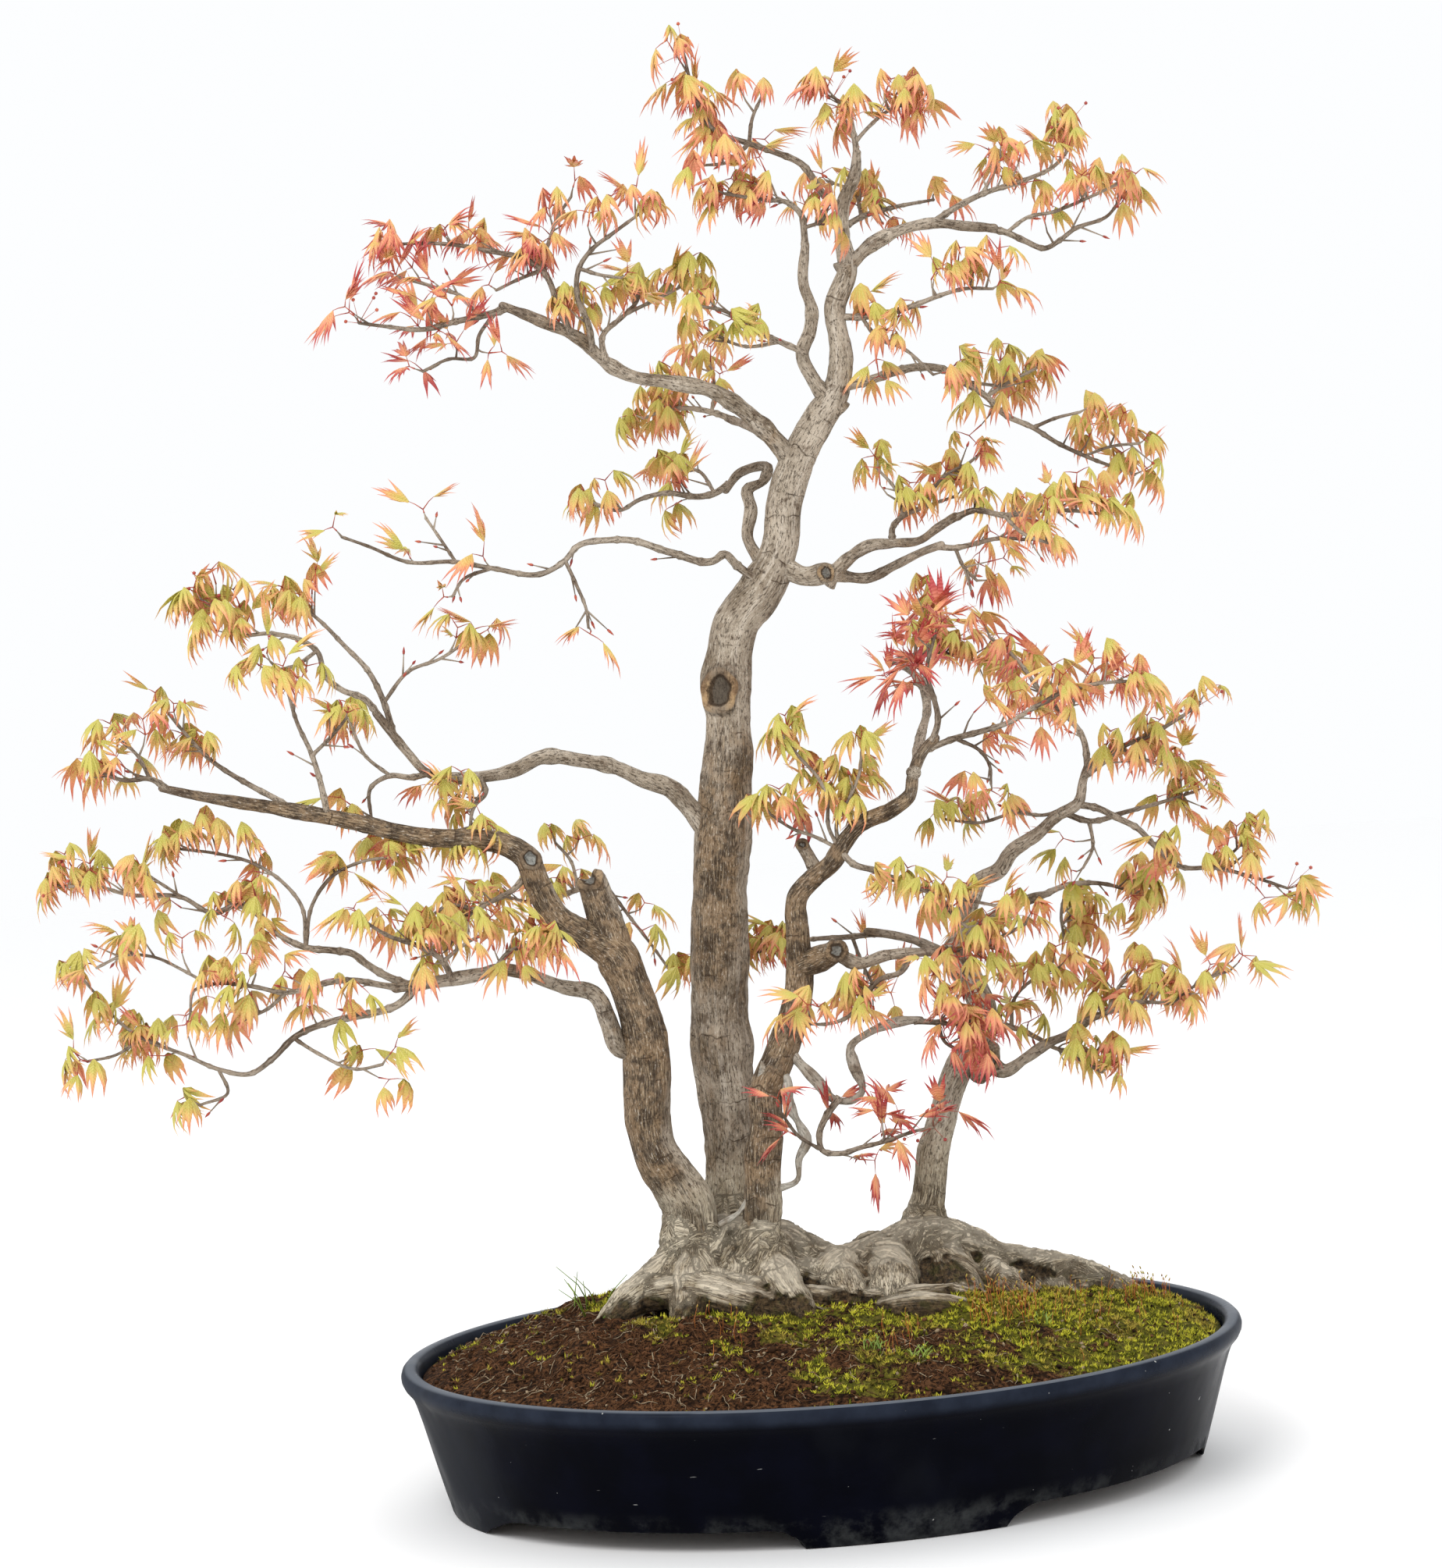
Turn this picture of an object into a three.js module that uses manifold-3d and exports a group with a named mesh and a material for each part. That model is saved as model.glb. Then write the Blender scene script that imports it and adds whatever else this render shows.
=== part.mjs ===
// Japanese maple bonsai in its oval pot: a fused root base with four trunks, leafy sprays, mossy soil.
// Millimetres, +Z up, the pot's long side on X. The origin is the bottom centre of the whole object.

import * as THREE from 'three';
import * as BufferGeometryUtils from 'three/addons/utils/BufferGeometryUtils.js';
import Module from 'manifold-3d';

const wasm = await Module();
wasm.setup();
const { Manifold, Mesh: SolidMesh } = wasm;

// Driving dimensions of the pot.
const POT_HEIGHT = 93;
const RIM_RADIUS = 273;
const BASE_RADIUS = 245;
const INNER_RIM_RADIUS = 261;
const INNER_FLOOR_RADIUS = 228;
const FLOOR_TOP = 25;
const FLOOR_UNDERSIDE = 15;
const FOOT_HEIGHT = 13.5;
const FOOT_RING_INNER = 226;
const BASE_OVALNESS = 0.765;
const RIM_OVALNESS = 0.84;
const POT_SIDES = 36;
const CENTRE_FOOT_HALF = 62;
const END_FOOT_START = 236;
const DRAIN_RADIUS = 14;
const DRAIN_OFFSET = 110;

// Soil, drain screens and the clearance between pieces that touch.
const SOIL_EDGE_HEIGHT = 84;
const SOIL_CROWN = 30;
const SOIL_SHOULDER = 4.5;
const SOIL_WALL_GAP = 0.7;
const SCREEN_SIDE = 44;
const SCREEN_THICKNESS = 1.4;
const SCREEN_SLOTS = 4;
const SLOT_WIDTH = 4;
const SEAT_GAP = 0.3;
const WOOD_UNDERSIDE = 101;

// The tree was measured on a true-size front view, whose sheet starts at its top left corner.
// A point on it reads [across, down], and its depth runs from the middle of the pot to the back.
const SHEET_WIDTH = 924;
const SHEET_HEIGHT = 1004.5;
const EYE_DISTANCE = 2500;
const EYE_HEIGHT = 560;
const EYE_SIDE = -46;
const EYE_TILT = THREE.MathUtils.degToRad(2.48);
const SHEET_ROLL = THREE.MathUtils.degToRad(3.2);
const POT_TURN = THREE.MathUtils.degToRad(13);

// Leaves and their stalks.
const LEAF_SEED = 7021;
const LEAF_LENGTH = [27, 36];
const LEAF_HALF_THICKNESS = 0.9;
const STALK_LENGTH = [9, 19];
const LEAF_NECK = 1.2;
const LEAF_ATTEMPTS = 16;
const BARE_SHARE = 0.3;
const SHOOT_HALF = 1;
const SHOOT_ROOM = 4;
const SHOOT_LEAN = 0.3;
const TWIG_TOLERANCE = 2.6;
const BRANCH_TOLERANCE = 1.6;
const BASE_TOLERANCE = 3;
const GOLDEN_ANGLE = Math.PI * (3 - Math.sqrt(5));

const MATERIALS = {
  glaze: new THREE.MeshStandardMaterial({ color: 0x1d222b, roughness: 0.3, metalness: 0 }),
  screen: new THREE.MeshStandardMaterial({ color: 0x1b1b1b, roughness: 0.6, metalness: 0 }),
  soil: new THREE.MeshStandardMaterial({ color: 0x4a4327, roughness: 0.95, metalness: 0 }),
  bark: new THREE.MeshStandardMaterial({ color: 0xa89c86, roughness: 0.85, metalness: 0 }),
  leaf: new THREE.MeshStandardMaterial({ color: 0xb98a3a, roughness: 0.6, metalness: 0 }),
};

// A point of the front view at a given depth, as a place in the pot's own frame.
function place([across, down], depth) {
  const a = across - SHEET_WIDTH / 2;
  const d = down - SHEET_HEIGHT / 2;
  const side = a * Math.cos(SHEET_ROLL) - d * Math.sin(SHEET_ROLL);
  const up = -(a * Math.sin(SHEET_ROLL) + d * Math.cos(SHEET_ROLL));
  const forward = EYE_DISTANCE * Math.cos(EYE_TILT) + up * Math.sin(EYE_TILT);
  const rise = up * Math.cos(EYE_TILT) - EYE_DISTANCE * Math.sin(EYE_TILT);
  const reach = (EYE_DISTANCE + depth) / forward;
  const point = new THREE.Vector3(EYE_SIDE + side * reach, depth, EYE_HEIGHT + rise * reach);
  return point.applyAxisAngle(new THREE.Vector3(0, 0, 1), -POT_TURN);
}

function seededRandom(seed) {
  let state = seed >>> 0;
  return () => {
    state = (state + 0x6d2b79f5) >>> 0;
    let t = state;
    t = Math.imul(t ^ (t >>> 15), t | 1);
    t ^= t + Math.imul(t ^ (t >>> 7), t | 61);
    return ((t ^ (t >>> 14)) >>> 0) / 4294967296;
  };
}

// Solids from meshes, and meshes from solids.
function solidOf(geometry) {
  geometry.deleteAttribute('normal');
  geometry.deleteAttribute('uv');
  const merged = BufferGeometryUtils.mergeVertices(geometry, 1e-4);
  return new Manifold(new SolidMesh({
    numProp: 3,
    vertProperties: new Float32Array(merged.attributes.position.array),
    triVerts: new Uint32Array(merged.index.array),
  }));
}

function geometryOf(solid) {
  const mesh = solid.getMesh();
  const geometry = new THREE.BufferGeometry();
  geometry.setAttribute('position', new THREE.BufferAttribute(new Float32Array(mesh.vertProperties), 3));
  geometry.setIndex(new THREE.BufferAttribute(new Uint32Array(mesh.triVerts), 1));
  geometry.computeVertexNormals();
  return geometry;
}

// The one connected body of a solid, with hollows that fusing sealed filled and loose scraps dropped.
function onePiece(solid) {
  const bodies = solid.decompose();
  return bodies.reduce((best, body) => (body.volume() > best.volume() ? body : best));
}

function fuse(solids) {
  return solids.reduce((sum, solid) => sum.add(solid));
}

function closedMesh(points, triangles) {
  const geometry = new THREE.BufferGeometry();
  const flat = points.flatMap((p) => [p.x, p.y, p.z]);
  geometry.setAttribute('position', new THREE.BufferAttribute(new Float32Array(flat), 3));
  geometry.setIndex(triangles.flat());
  return solidOf(geometry);
}

// A tapering limb through stations {at, radius}, with its ends closed and its sides fluted like bark.
function limbSolid(stations, sides, { grow = 0, flute = 0, phase = 0 } = {}) {
  const centres = stations.map((s) => s.at.clone());
  const last = centres.length - 1;
  const tangents = centres.map((_, i) => (
    centres[Math.min(i + 1, last)].clone().sub(centres[Math.max(i - 1, 0)]).normalize()
  ));
  centres[0].addScaledVector(tangents[0], -grow);
  centres[last].addScaledVector(tangents[last], grow);
  let across = new THREE.Vector3(0, 1, 0);
  if (Math.abs(tangents[0].y) > 0.9) {
    across = new THREE.Vector3(1, 0, 0);
  }
  const points = [];
  stations.forEach((station, i) => {
    across = across.addScaledVector(tangents[i], -across.dot(tangents[i])).normalize();
    const other = new THREE.Vector3().crossVectors(tangents[i], across);
    for (let k = 0; k < sides; k += 1) {
      const turn = (2 * Math.PI * k) / sides;
      const broad = Math.cos(2 * turn + phase + 0.35 * i);
      const fine = Math.cos(4 * turn - phase + 0.5 * i);
      const ridge = 0.6 * broad + 0.4 * fine;
      const radius = station.radius * (1 + flute * ridge) + grow;
      points.push(centres[i].clone()
        .addScaledVector(across, radius * Math.cos(turn))
        .addScaledVector(other, radius * Math.sin(turn)));
    }
  });
  const triangles = [];
  for (let i = 0; i < last; i += 1) {
    for (let k = 0; k < sides; k += 1) {
      const a = i * sides + k;
      const b = i * sides + ((k + 1) % sides);
      triangles.push([a, b, b + sides], [a, b + sides, a + sides]);
    }
  }
  for (let k = 1; k < sides - 1; k += 1) {
    triangles.push([0, k + 1, k], [last * sides, last * sides + k, last * sides + k + 1]);
  }
  return closedMesh(points, triangles);
}

// Stations of a trunk or root, given as [across, down, depth, radius].
function traced(points) {
  return points.map(([across, down, depth, radius]) => ({ at: place([across, down], depth), radius }));
}

// Depths of a path's points, which change evenly along its drawn length.
function pathDepths(points, [from, to]) {
  const lengths = [0];
  for (let i = 1; i < points.length; i += 1) {
    const step = Math.hypot(points[i][0] - points[i - 1][0], points[i][1] - points[i - 1][1]);
    lengths.push(lengths[i - 1] + step);
  }
  return lengths.map((length) => THREE.MathUtils.lerp(from, to, length / lengths[lengths.length - 1]));
}

// Stations of a branch or twig, whose depth and radius both change evenly along it.
function branch(points, depthRange, radiusRange) {
  const depths = pathDepths(points, depthRange);
  const radii = pathDepths(points, radiusRange);
  return points.map((point, i) => ({ at: place(point, depths[i]), radius: radii[i] }));
}

// The stations that a limb's shape needs: one that lies closer than the tolerance to its chord is left out.
function thinned(stations, tolerance) {
  const first = stations[0];
  const last = stations[stations.length - 1];
  const chord = new THREE.Line3(first.at, last.at);
  let worst = 0;
  let split = 0;
  for (let i = 1; i < stations.length - 1; i += 1) {
    const nearest = chord.closestPointToPoint(stations[i].at, true, new THREE.Vector3());
    const share = nearest.distanceTo(first.at) / first.at.distanceTo(last.at);
    const swelling = Math.abs(stations[i].radius - THREE.MathUtils.lerp(first.radius, last.radius, share));
    const miss = Math.max(nearest.distanceTo(stations[i].at), swelling);
    if (miss > worst) {
      worst = miss;
      split = i;
    }
  }
  if (worst <= tolerance) {
    return [first, last];
  }
  const before = thinned(stations.slice(0, split + 1), tolerance);
  const after = thinned(stations.slice(split), tolerance);
  return [...before, ...after.slice(1)];
}

// Trunks, from the root base up.
const MAIN_TRUNK = traced([
  [465, 800, 30, 19], [466, 776, 30, 16], [467, 745, 30, 16], [466, 705, 28, 18], [462, 665, 26, 19.5],
  [461, 625, 24, 19], [461, 585, 21, 18.5], [462, 545, 18, 18.2], [465, 505, 16, 16], [467, 470, 14, 15],
  [466, 430, 13, 15], [471, 400, 12, 14.5], [489, 376, 10, 13.5], [500, 350, 8, 12], [503, 320, 6, 11.5],
  [511, 295, 5, 11.2], [523, 272, 4, 11], [536, 250, 2, 9], [539, 230, 0, 7.4], [535, 196, -2, 6.6],
  [543, 172, -2, 6], [540, 153, -1, 5.2], [540, 132, 0, 4.4], [548, 111, 0, 3.4], [549, 98, 0, 2.6],
]);
const LEFT_TRUNK = traced([
  [445, 808, -28, 20], [442, 790, -30, 17.5], [440, 772, -30, 17.5], [432, 757, -32, 16],
  [420, 738, -36, 15], [415, 716, -40, 15], [415, 685, -44, 15], [411, 655, -46, 14],
  [404, 632, -48, 13.6], [393, 609, -50, 12.8], [376, 600, -52, 10.5], [357, 588, -54, 9],
  [345, 568, -56, 8.4], [337, 549, -56, 7.6], [324, 541, -56, 6.8], [308, 538, -56, 6.4],
  [280, 537, -58, 6], [254, 533, -60, 5.6], [229, 527, -62, 5.2], [191, 520, -64, 4.8],
  [152, 514, -66, 3.8], [127, 510, -66, 3.1], [104, 505, -66, 2.6],
]);
const SLIM_TRUNK = traced([
  [488, 806, -32, 18], [488, 790, -35, 13], [489, 770, -35, 12], [489, 745, -34, 11.4],
  [491, 720, -34, 10.5], [490, 698, -32, 10], [498, 680, -30, 9.8], [507, 655, -28, 9.8],
  [512, 628, -24, 9.4], [511, 596, -24, 7.8], [511, 575, -26, 6.6], [522, 562, -30, 6.2],
  [533, 553, -34, 6], [540, 541, -40, 5.7], [550, 529, -43, 5.4], [572, 518, -50, 4.9],
  [583, 509, -54, 4.3], [585, 496, -56, 3.8], [591, 482, -58, 3.5], [599, 473, -60, 3.2],
]);
const RIGHT_TRUNK = traced([
  [594, 802, 30, 22], [593, 782, 38, 14], [596, 760, 40, 11], [598, 738, 40, 10.2], [606, 710, 38, 9],
  [611, 692, 36, 9.2], [618, 678, 34, 9.4], [628, 667, 32, 9.2], [631, 652, 30, 9], [621, 627, 26, 9.2],
  [612, 613, 24, 9], [618, 597, 20, 7.6], [621, 578, 18, 6.6], [627, 565, 16, 6], [640, 558, 12, 5.5],
  [648, 546, 6, 4.8], [665, 534, 2, 4.2], [677, 523, 0, 3.8], [691, 514, -4, 3.4], [694, 500, -6, 3],
  [698, 488, -8, 2.6],
]);

// The fused base: a high ridge that carries the trunks, a broad foot under it, and roots to all sides.
const ROOT_BASE = [
  traced([
    [428, 820, -32, 16], [443, 808, -28, 24], [470, 805, 0, 26], [500, 808, 6, 25], [535, 819, 8, 21],
    [565, 813, 12, 22], [594, 803, 24, 25], [640, 815, 30, 19], [690, 819, 35, 14], [722, 828, 38, 10],
  ]),
  traced([
    [418, 830, -34, 14], [450, 829, -28, 24], [500, 830, -14, 25], [545, 830, -8, 23], [590, 830, 2, 24],
    [630, 829, 12, 21], [672, 830, 24, 15], [706, 834, 32, 9],
  ]),
];
const ROOTS = [
  traced([[438, 812, -34, 18], [420, 823, -44, 15], [403, 834, -52, 11], [384, 845, -56, 6]]),
  traced([[446, 810, -30, 22], [443, 830, -58, 17], [439, 846, -76, 10], [433, 858, -88, 5]]),
  traced([[470, 812, -20, 20], [474, 832, -52, 17], [474, 848, -72, 11], [479, 860, -88, 5]]),
  traced([[492, 806, -30, 16], [500, 824, -54, 14], [512, 843, -72, 11], [522, 858, -86, 5]]),
  traced([[535, 816, 0, 20], [540, 831, -32, 17], [546, 846, -56, 12], [549, 858, -74, 6]]),
  traced([[570, 810, 8, 20], [572, 828, -30, 17], [574, 846, -60, 12], [579, 859, -78, 5]]),
  traced([
    [548, 848, -52, 9], [572, 841, -64, 10], [600, 839, -62, 10], [622, 843, -56, 9],
    [642, 853, -54, 5],
  ]),
  traced([[600, 808, 20, 22], [613, 826, -14, 17], [623, 842, -38, 12], [640, 853, -56, 6]]),
  traced([[624, 813, 24, 18], [646, 828, 0, 13], [663, 839, -20, 9], [684, 848, -34, 5]]),
  traced([[690, 820, 34, 14], [716, 828, 38, 10], [740, 835, 42, 6], [758, 842, 44, 4]]),
  traced([[452, 806, -10, 20], [438, 814, 28, 15], [424, 821, 56, 10], [408, 829, 80, 5]]),
  traced([[490, 808, 20, 22], [492, 813, 60, 15], [490, 819, 92, 9], [488, 826, 114, 5]]),
  traced([[560, 808, 25, 20], [566, 813, 64, 14], [575, 819, 96, 8], [582, 826, 116, 5]]),
  traced([[640, 813, 34, 16], [655, 817, 68, 11], [672, 822, 96, 7], [686, 829, 114, 4]]),
];

// Main branches, cut stubs, knobs and burrs, each starting inside the limb that carries it.
const BRANCHES = [
  traced([[392, 606, -50, 9], [387, 584, -50, 8.6], [379, 566, -50, 8]]),
  traced([[524, 560, -30, 4.8], [514, 541, -26, 4]]),
  traced([[511, 620, -24, 8], [528, 613, -30, 9], [537, 609, -34, 6]]),
  traced([[626, 690, 32, 6], [632, 680, 24, 8], [636, 672, 16, 5]]),
  traced([[500, 362, 8, 7], [516, 369, 2, 6], [530, 367, -6, 6.4], [535, 366, -9, 4]]),
  branch([[545, 169], [557, 158], [573, 149], [598, 143], [620, 145], [637, 146]], [-2, 18], [4.6, 2.8]),
  branch(
    [[533, 258], [521, 243], [514, 226], [519, 212], [520, 198], [515, 183], [516, 157]],
    [2, -22], [5.4, 2.8],
  ),
  branch(
    [
      [506, 293], [492, 277], [470, 258], [455, 250], [430, 245], [402, 240], [388, 232], [371, 217],
      [345, 205], [322, 196],
    ],
    [5, -38], [6.4, 2.8],
  ),
  branch(
    [[489, 362], [479, 344], [481, 326], [479, 314], [489, 308], [492, 300], [474, 303], [465, 314]],
    [12, 62], [4.4, 2.8],
  ),
  branch(
    [
      [448, 524], [428, 504], [411, 499], [398, 493], [371, 487], [347, 485], [330, 493], [306, 498],
      [272, 494], [262, 483], [252, 471], [241, 457],
    ],
    [14, -42], [6.2, 2.5],
  ),
  branch(
    [
      [413, 676], [398, 673], [390, 655], [381, 637], [360, 632], [338, 624], [322, 621], [304, 625],
      [280, 629], [254, 633],
    ],
    [-44, -80], [5.2, 3.6],
  ),
  branch([[535, 610], [549, 617], [568, 612], [590, 610], [607, 609]], [-32, -54], [4.2, 2.6]),
  branch(
    [
      [504, 672], [515, 684], [524, 693], [534, 704], [545, 705], [552, 700], [547, 682], [545, 671],
      [556, 662], [574, 655], [590, 653],
    ],
    [-30, -62], [4.2, 2.3],
  ),
  branch(
    [
      [492, 687], [503, 690], [505, 706], [513, 722], [517, 731], [512, 742], [511, 756], [497, 762],
      [481, 768], [472, 778], [462, 784],
    ],
    [-34, -40], [3, 3.8],
  ),
  branch([[632, 680], [643, 686], [657, 678], [672, 668], [684, 663], [700, 652]], [24, -12], [4.6, 2.7]),
  branch([[618, 616], [601, 609], [588, 603], [572, 599], [556, 597]], [24, 58], [4, 2.7]),
  branch(
    [[533, 368], [545, 357], [556, 350], [572, 348], [590, 346], [601, 338], [612, 331]],
    [-8, -46], [4.4, 2.6],
  ),
  branch([[534, 368], [557, 370], [574, 362], [592, 353], [603, 349]], [-8, 8], [3.6, 2.4]),
  branch([[586, 493], [590, 472], [594, 452], [588, 434], [575, 424]], [-56, 124], [3.4, 2.7]),
  branch([[394, 614], [392, 600], [388, 586], [384, 574], [378, 566]], [-50, 130], [5, 2.6]),
  branch([[506, 310], [500, 288], [486, 276], [466, 268]], [8, 104], [4.6, 2.6]),
  branch([[616, 604], [632, 590], [650, 580], [672, 572]], [22, 112], [4.8, 2.6]),
];

// Sprays: the leafy ends of the branches. Each has a main twig that starts in the wood, and offshoots
// that start at one of its stations: [station, depth at the tip, points].
const SPRAYS = [
  {
    name: 'spray_top_left', leaves: 6, depth: [0, -40], radius: [2.6, 1],
    path: [[540, 134], [531, 128], [512, 104], [498, 98], [480, 92], [456, 82], [445, 61], [438, 34]],
    offshoots: [[4, -44, [[466, 104], [450, 106]]]],
  },
  {
    name: 'spray_top_leader', leaves: 6, depth: [0, 2], radius: [2.3, 1],
    path: [[549, 102], [548, 91], [547, 86], [543, 71], [534, 62]],
    offshoots: [[1, 14, [[556, 82], [569, 71], [585, 64]]]],
  },
  {
    name: 'spray_top_fork', leaves: 5, depth: [-20, -46], radius: [2.4, 1],
    path: [[516, 163], [515, 146], [514, 139], [505, 130], [489, 128], [464, 124]],
    offshoots: [[1, -34, [[527, 141], [531, 131]]]],
  },
  {
    name: 'spray_top_back', leaves: 5, depth: [0, 62], radius: [2.2, 1],
    path: [[540, 146], [552, 139], [572, 133], [598, 128]],
    offshoots: [[1, 58, [[548, 124], [530, 116]]]],
  },
  {
    name: 'spray_right_top_outer', leaves: 6, depth: [18, 30], radius: [2.3, 1],
    path: [[630, 146], [645, 149], [656, 154], [670, 159], [679, 154], [688, 147], [710, 138], [719, 126]],
    offshoots: [[1, -14, [[659, 139], [674, 136], [692, 129], [716, 118]]]],
  },
  {
    name: 'spray_right_top_inner', leaves: 5, depth: [12, 36], radius: [2.2, 1],
    path: [[597, 143], [614, 132], [630, 124], [655, 116], [678, 104], [685, 93], [682, 82]],
    offshoots: [[2, 24, [[637, 109], [641, 100]]]],
  },
  {
    name: 'spray_left_top_tip', leaves: 6, depth: [-37, -62], radius: [2.4, 1],
    path: [[326, 197], [318, 200], [306, 203], [292, 206], [272, 211], [246, 209], [230, 207]],
    offshoots: [
      [1, -52, [[307, 215], [304, 229], [288, 230], [271, 238]]],
      [2, -30, [[296, 190], [282, 185], [257, 178]]],
    ],
  },
  {
    name: 'spray_left_top_upper', leaves: 6, depth: [-33, -10], radius: [2.2, 1],
    path: [[366, 213], [360, 202], [347, 173], [336, 166], [314, 161], [292, 157], [263, 156], [251, 157]],
    offshoots: [[2, -6, [[330, 180], [318, 186]]]],
  },
  {
    name: 'spray_left_top_inner', leaves: 5, depth: [-30, -56], radius: [2.2, 1],
    path: [[380, 225], [377, 208], [370, 190], [371, 172], [379, 160], [392, 150], [411, 136]],
    offshoots: [[3, -58, [[384, 176], [398, 178]]]],
  },
  {
    name: 'spray_left_top_centre', leaves: 5, depth: [-28, 8], radius: [2.2, 1],
    path: [[388, 232], [386, 216], [401, 201], [409, 191], [407, 181]],
    offshoots: [[2, -8, [[416, 194], [436, 184]]]],
  },
  {
    name: 'spray_mid_crown', leaves: 6, depth: [-12, -50], radius: [2.2, 1],
    path: [[516, 226], [500, 219], [480, 210], [466, 200], [448, 196]],
    offshoots: [[1, 20, [[478, 222], [456, 214]]]],
  },
  {
    name: 'spray_back_left', leaves: 4, depth: [62, 40], radius: [2.4, 1],
    path: [[467, 310], [458, 316], [450, 318], [426, 316], [410, 320], [397, 327], [380, 322]],
    offshoots: [[1, 86, [[448, 302], [429, 301]]]],
  },
  {
    name: 'spray_back_top', leaves: 5, depth: [100, 132], radius: [2.3, 1],
    path: [[470, 269], [456, 264], [430, 262], [412, 268]],
    offshoots: [[1, 140, [[458, 248], [456, 236]]]],
  },
  {
    name: 'spray_long_left', leaves: 8, depth: [2, -62], radius: [2.8, 1],
    path: [
      [488, 374], [472, 362], [464, 355], [458, 359], [430, 354], [403, 346], [390, 346], [370, 350],
      [362, 359], [349, 367], [315, 364], [292, 360], [261, 360], [236, 350], [219, 344],
    ],
    offshoots: [
      [8, -44, [[369, 374], [376, 392], [377, 402]]],
      [10, -52, [[296, 372], [290, 382]]],
      [11, -30, [[284, 348], [273, 332]]],
    ],
  },
  {
    name: 'spray_left_mid_tip', leaves: 5, depth: [-42, -66], radius: [2.2, 1],
    path: [
      [243, 459], [234, 448], [219, 442], [209, 434], [203, 417], [195, 411], [176, 406], [148, 405],
      [140, 392], [129, 384],
    ],
    offshoots: [[4, -78, [[190, 426], [172, 430]]]],
  },
  {
    name: 'spray_left_mid_upper', leaves: 5, depth: [-38, -2], radius: [2.2, 1],
    path: [[252, 470], [246, 450], [236, 430], [221, 414], [203, 396], [186, 384]],
    offshoots: [[1, -24, [[262, 430], [282, 422], [299, 411]]]],
  },
  {
    name: 'spray_left_mid_lower', leaves: 5, depth: [-34, -30], radius: [2.2, 1],
    path: [[276, 495], [264, 498], [250, 497], [238, 504], [238, 526]],
    offshoots: [[2, -6, [[234, 484], [224, 462]]]],
  },
  {
    name: 'spray_left_mid_under', leaves: 4, depth: [-24, -46], radius: [2, 1],
    path: [[308, 498], [311, 508], [304, 516], [301, 534]],
    offshoots: [],
  },
  {
    name: 'spray_left_end', leaves: 5, depth: [-66, -80], radius: [2.2, 1],
    path: [[110, 507], [96, 499], [80, 500], [62, 494]],
    offshoots: [[1, -58, [[88, 484], [74, 472]]]],
  },
  {
    name: 'spray_left_shoulder', leaves: 4, depth: [-65, -42], radius: [2.2, 1],
    path: [[190, 520], [177, 512], [162, 504], [134, 486], [117, 468], [106, 455]],
    offshoots: [],
  },
  {
    name: 'spray_left_rise', leaves: 5, depth: [-64, -92], radius: [2.2, 1],
    path: [[210, 523], [206, 504], [200, 484], [190, 462], [183, 437]],
    offshoots: [[2, -96, [[214, 470], [222, 460]]]],
  },
  {
    name: 'spray_low_left_hook', leaves: 5, depth: [-80, -114], radius: [2.2, 1],
    path: [
      [258, 633], [244, 631], [226, 628], [208, 630], [183, 636], [162, 632], [134, 631], [124, 635],
      [122, 648],
    ],
    offshoots: [[4, -92, [[172, 646], [160, 652]]]],
  },
  {
    name: 'spray_low_left_tip', leaves: 8, depth: [-76, -54], radius: [2.6, 1],
    path: [
      [262, 631], [247, 625], [234, 617], [226, 611], [214, 609], [196, 607], [178, 598], [168, 588],
      [152, 580], [137, 585], [117, 575], [81, 573], [63, 568], [40, 568],
    ],
    offshoots: [
      [5, -44, [[193, 580], [178, 566]]],
      [10, -76, [[100, 564], [88, 556]]],
    ],
  },
  {
    name: 'spray_low_left_under', leaves: 7, depth: [-80, -60], radius: [2.6, 1],
    path: [
      [268, 631], [256, 643], [234, 650], [214, 654], [188, 665], [175, 678], [160, 688], [140, 685],
      [119, 676], [91, 665], [76, 655],
    ],
    offshoots: [[4, -92, [[204, 675], [229, 685], [245, 682]]]],
  },
  {
    name: 'spray_low_left_inner', leaves: 4, depth: [-78, -104], radius: [2.2, 1],
    path: [[290, 628], [284, 616], [268, 606], [250, 600], [230, 588]],
    offshoots: [[1, -98, [[296, 606], [310, 598]]]],
  },
  {
    name: 'spray_low_left_side', leaves: 4, depth: [-68, -98], radius: [2, 1],
    path: [[318, 622], [324, 612], [336, 606], [348, 606]],
    offshoots: [],
  },
  {
    name: 'spray_mid_left', leaves: 5, depth: [-56, -44], radius: [2.2, 1],
    path: [[340, 556], [331, 568], [306, 583], [291, 600], [287, 608]],
    offshoots: [[2, -66, [[288, 580], [272, 590]]]],
  },
  {
    name: 'spray_back_low_left', leaves: 5, depth: [126, 150], radius: [2.3, 1],
    path: [[386, 564], [370, 570], [342, 578], [322, 574]],
    offshoots: [[1, 156, [[366, 552], [356, 540]]]],
  },
  {
    name: 'spray_centre_rise', leaves: 5, depth: [-60, -84], radius: [2.2, 1],
    path: [[597, 476], [601, 462], [598, 446], [594, 432], [599, 407]],
    offshoots: [[2, -52, [[586, 438], [574, 440]]]],
  },
  {
    name: 'spray_centre_right', leaves: 7, depth: [-57, -92], radius: [2.2, 1],
    path: [[592, 481], [612, 473], [627, 469], [646, 463], [665, 452], [684, 442], [703, 438], [728, 436]],
    offshoots: [[1, -50, [[629, 482], [634, 490], [635, 502]]]],
  },
  {
    name: 'spray_centre_knob', leaves: 5, depth: [-54, -72], radius: [2.2, 1],
    path: [[602, 609], [616, 608], [630, 605], [642, 600], [657, 592]],
    offshoots: [[1, -90, [[618, 622], [612, 636]]]],
  },
  {
    name: 'spray_centre_hanging', leaves: 5, depth: [-48, -84], radius: [2, 1],
    path: [[584, 610], [578, 622], [563, 628], [554, 638], [544, 651], [530, 656], [518, 656]],
    offshoots: [],
  },
  {
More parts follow.
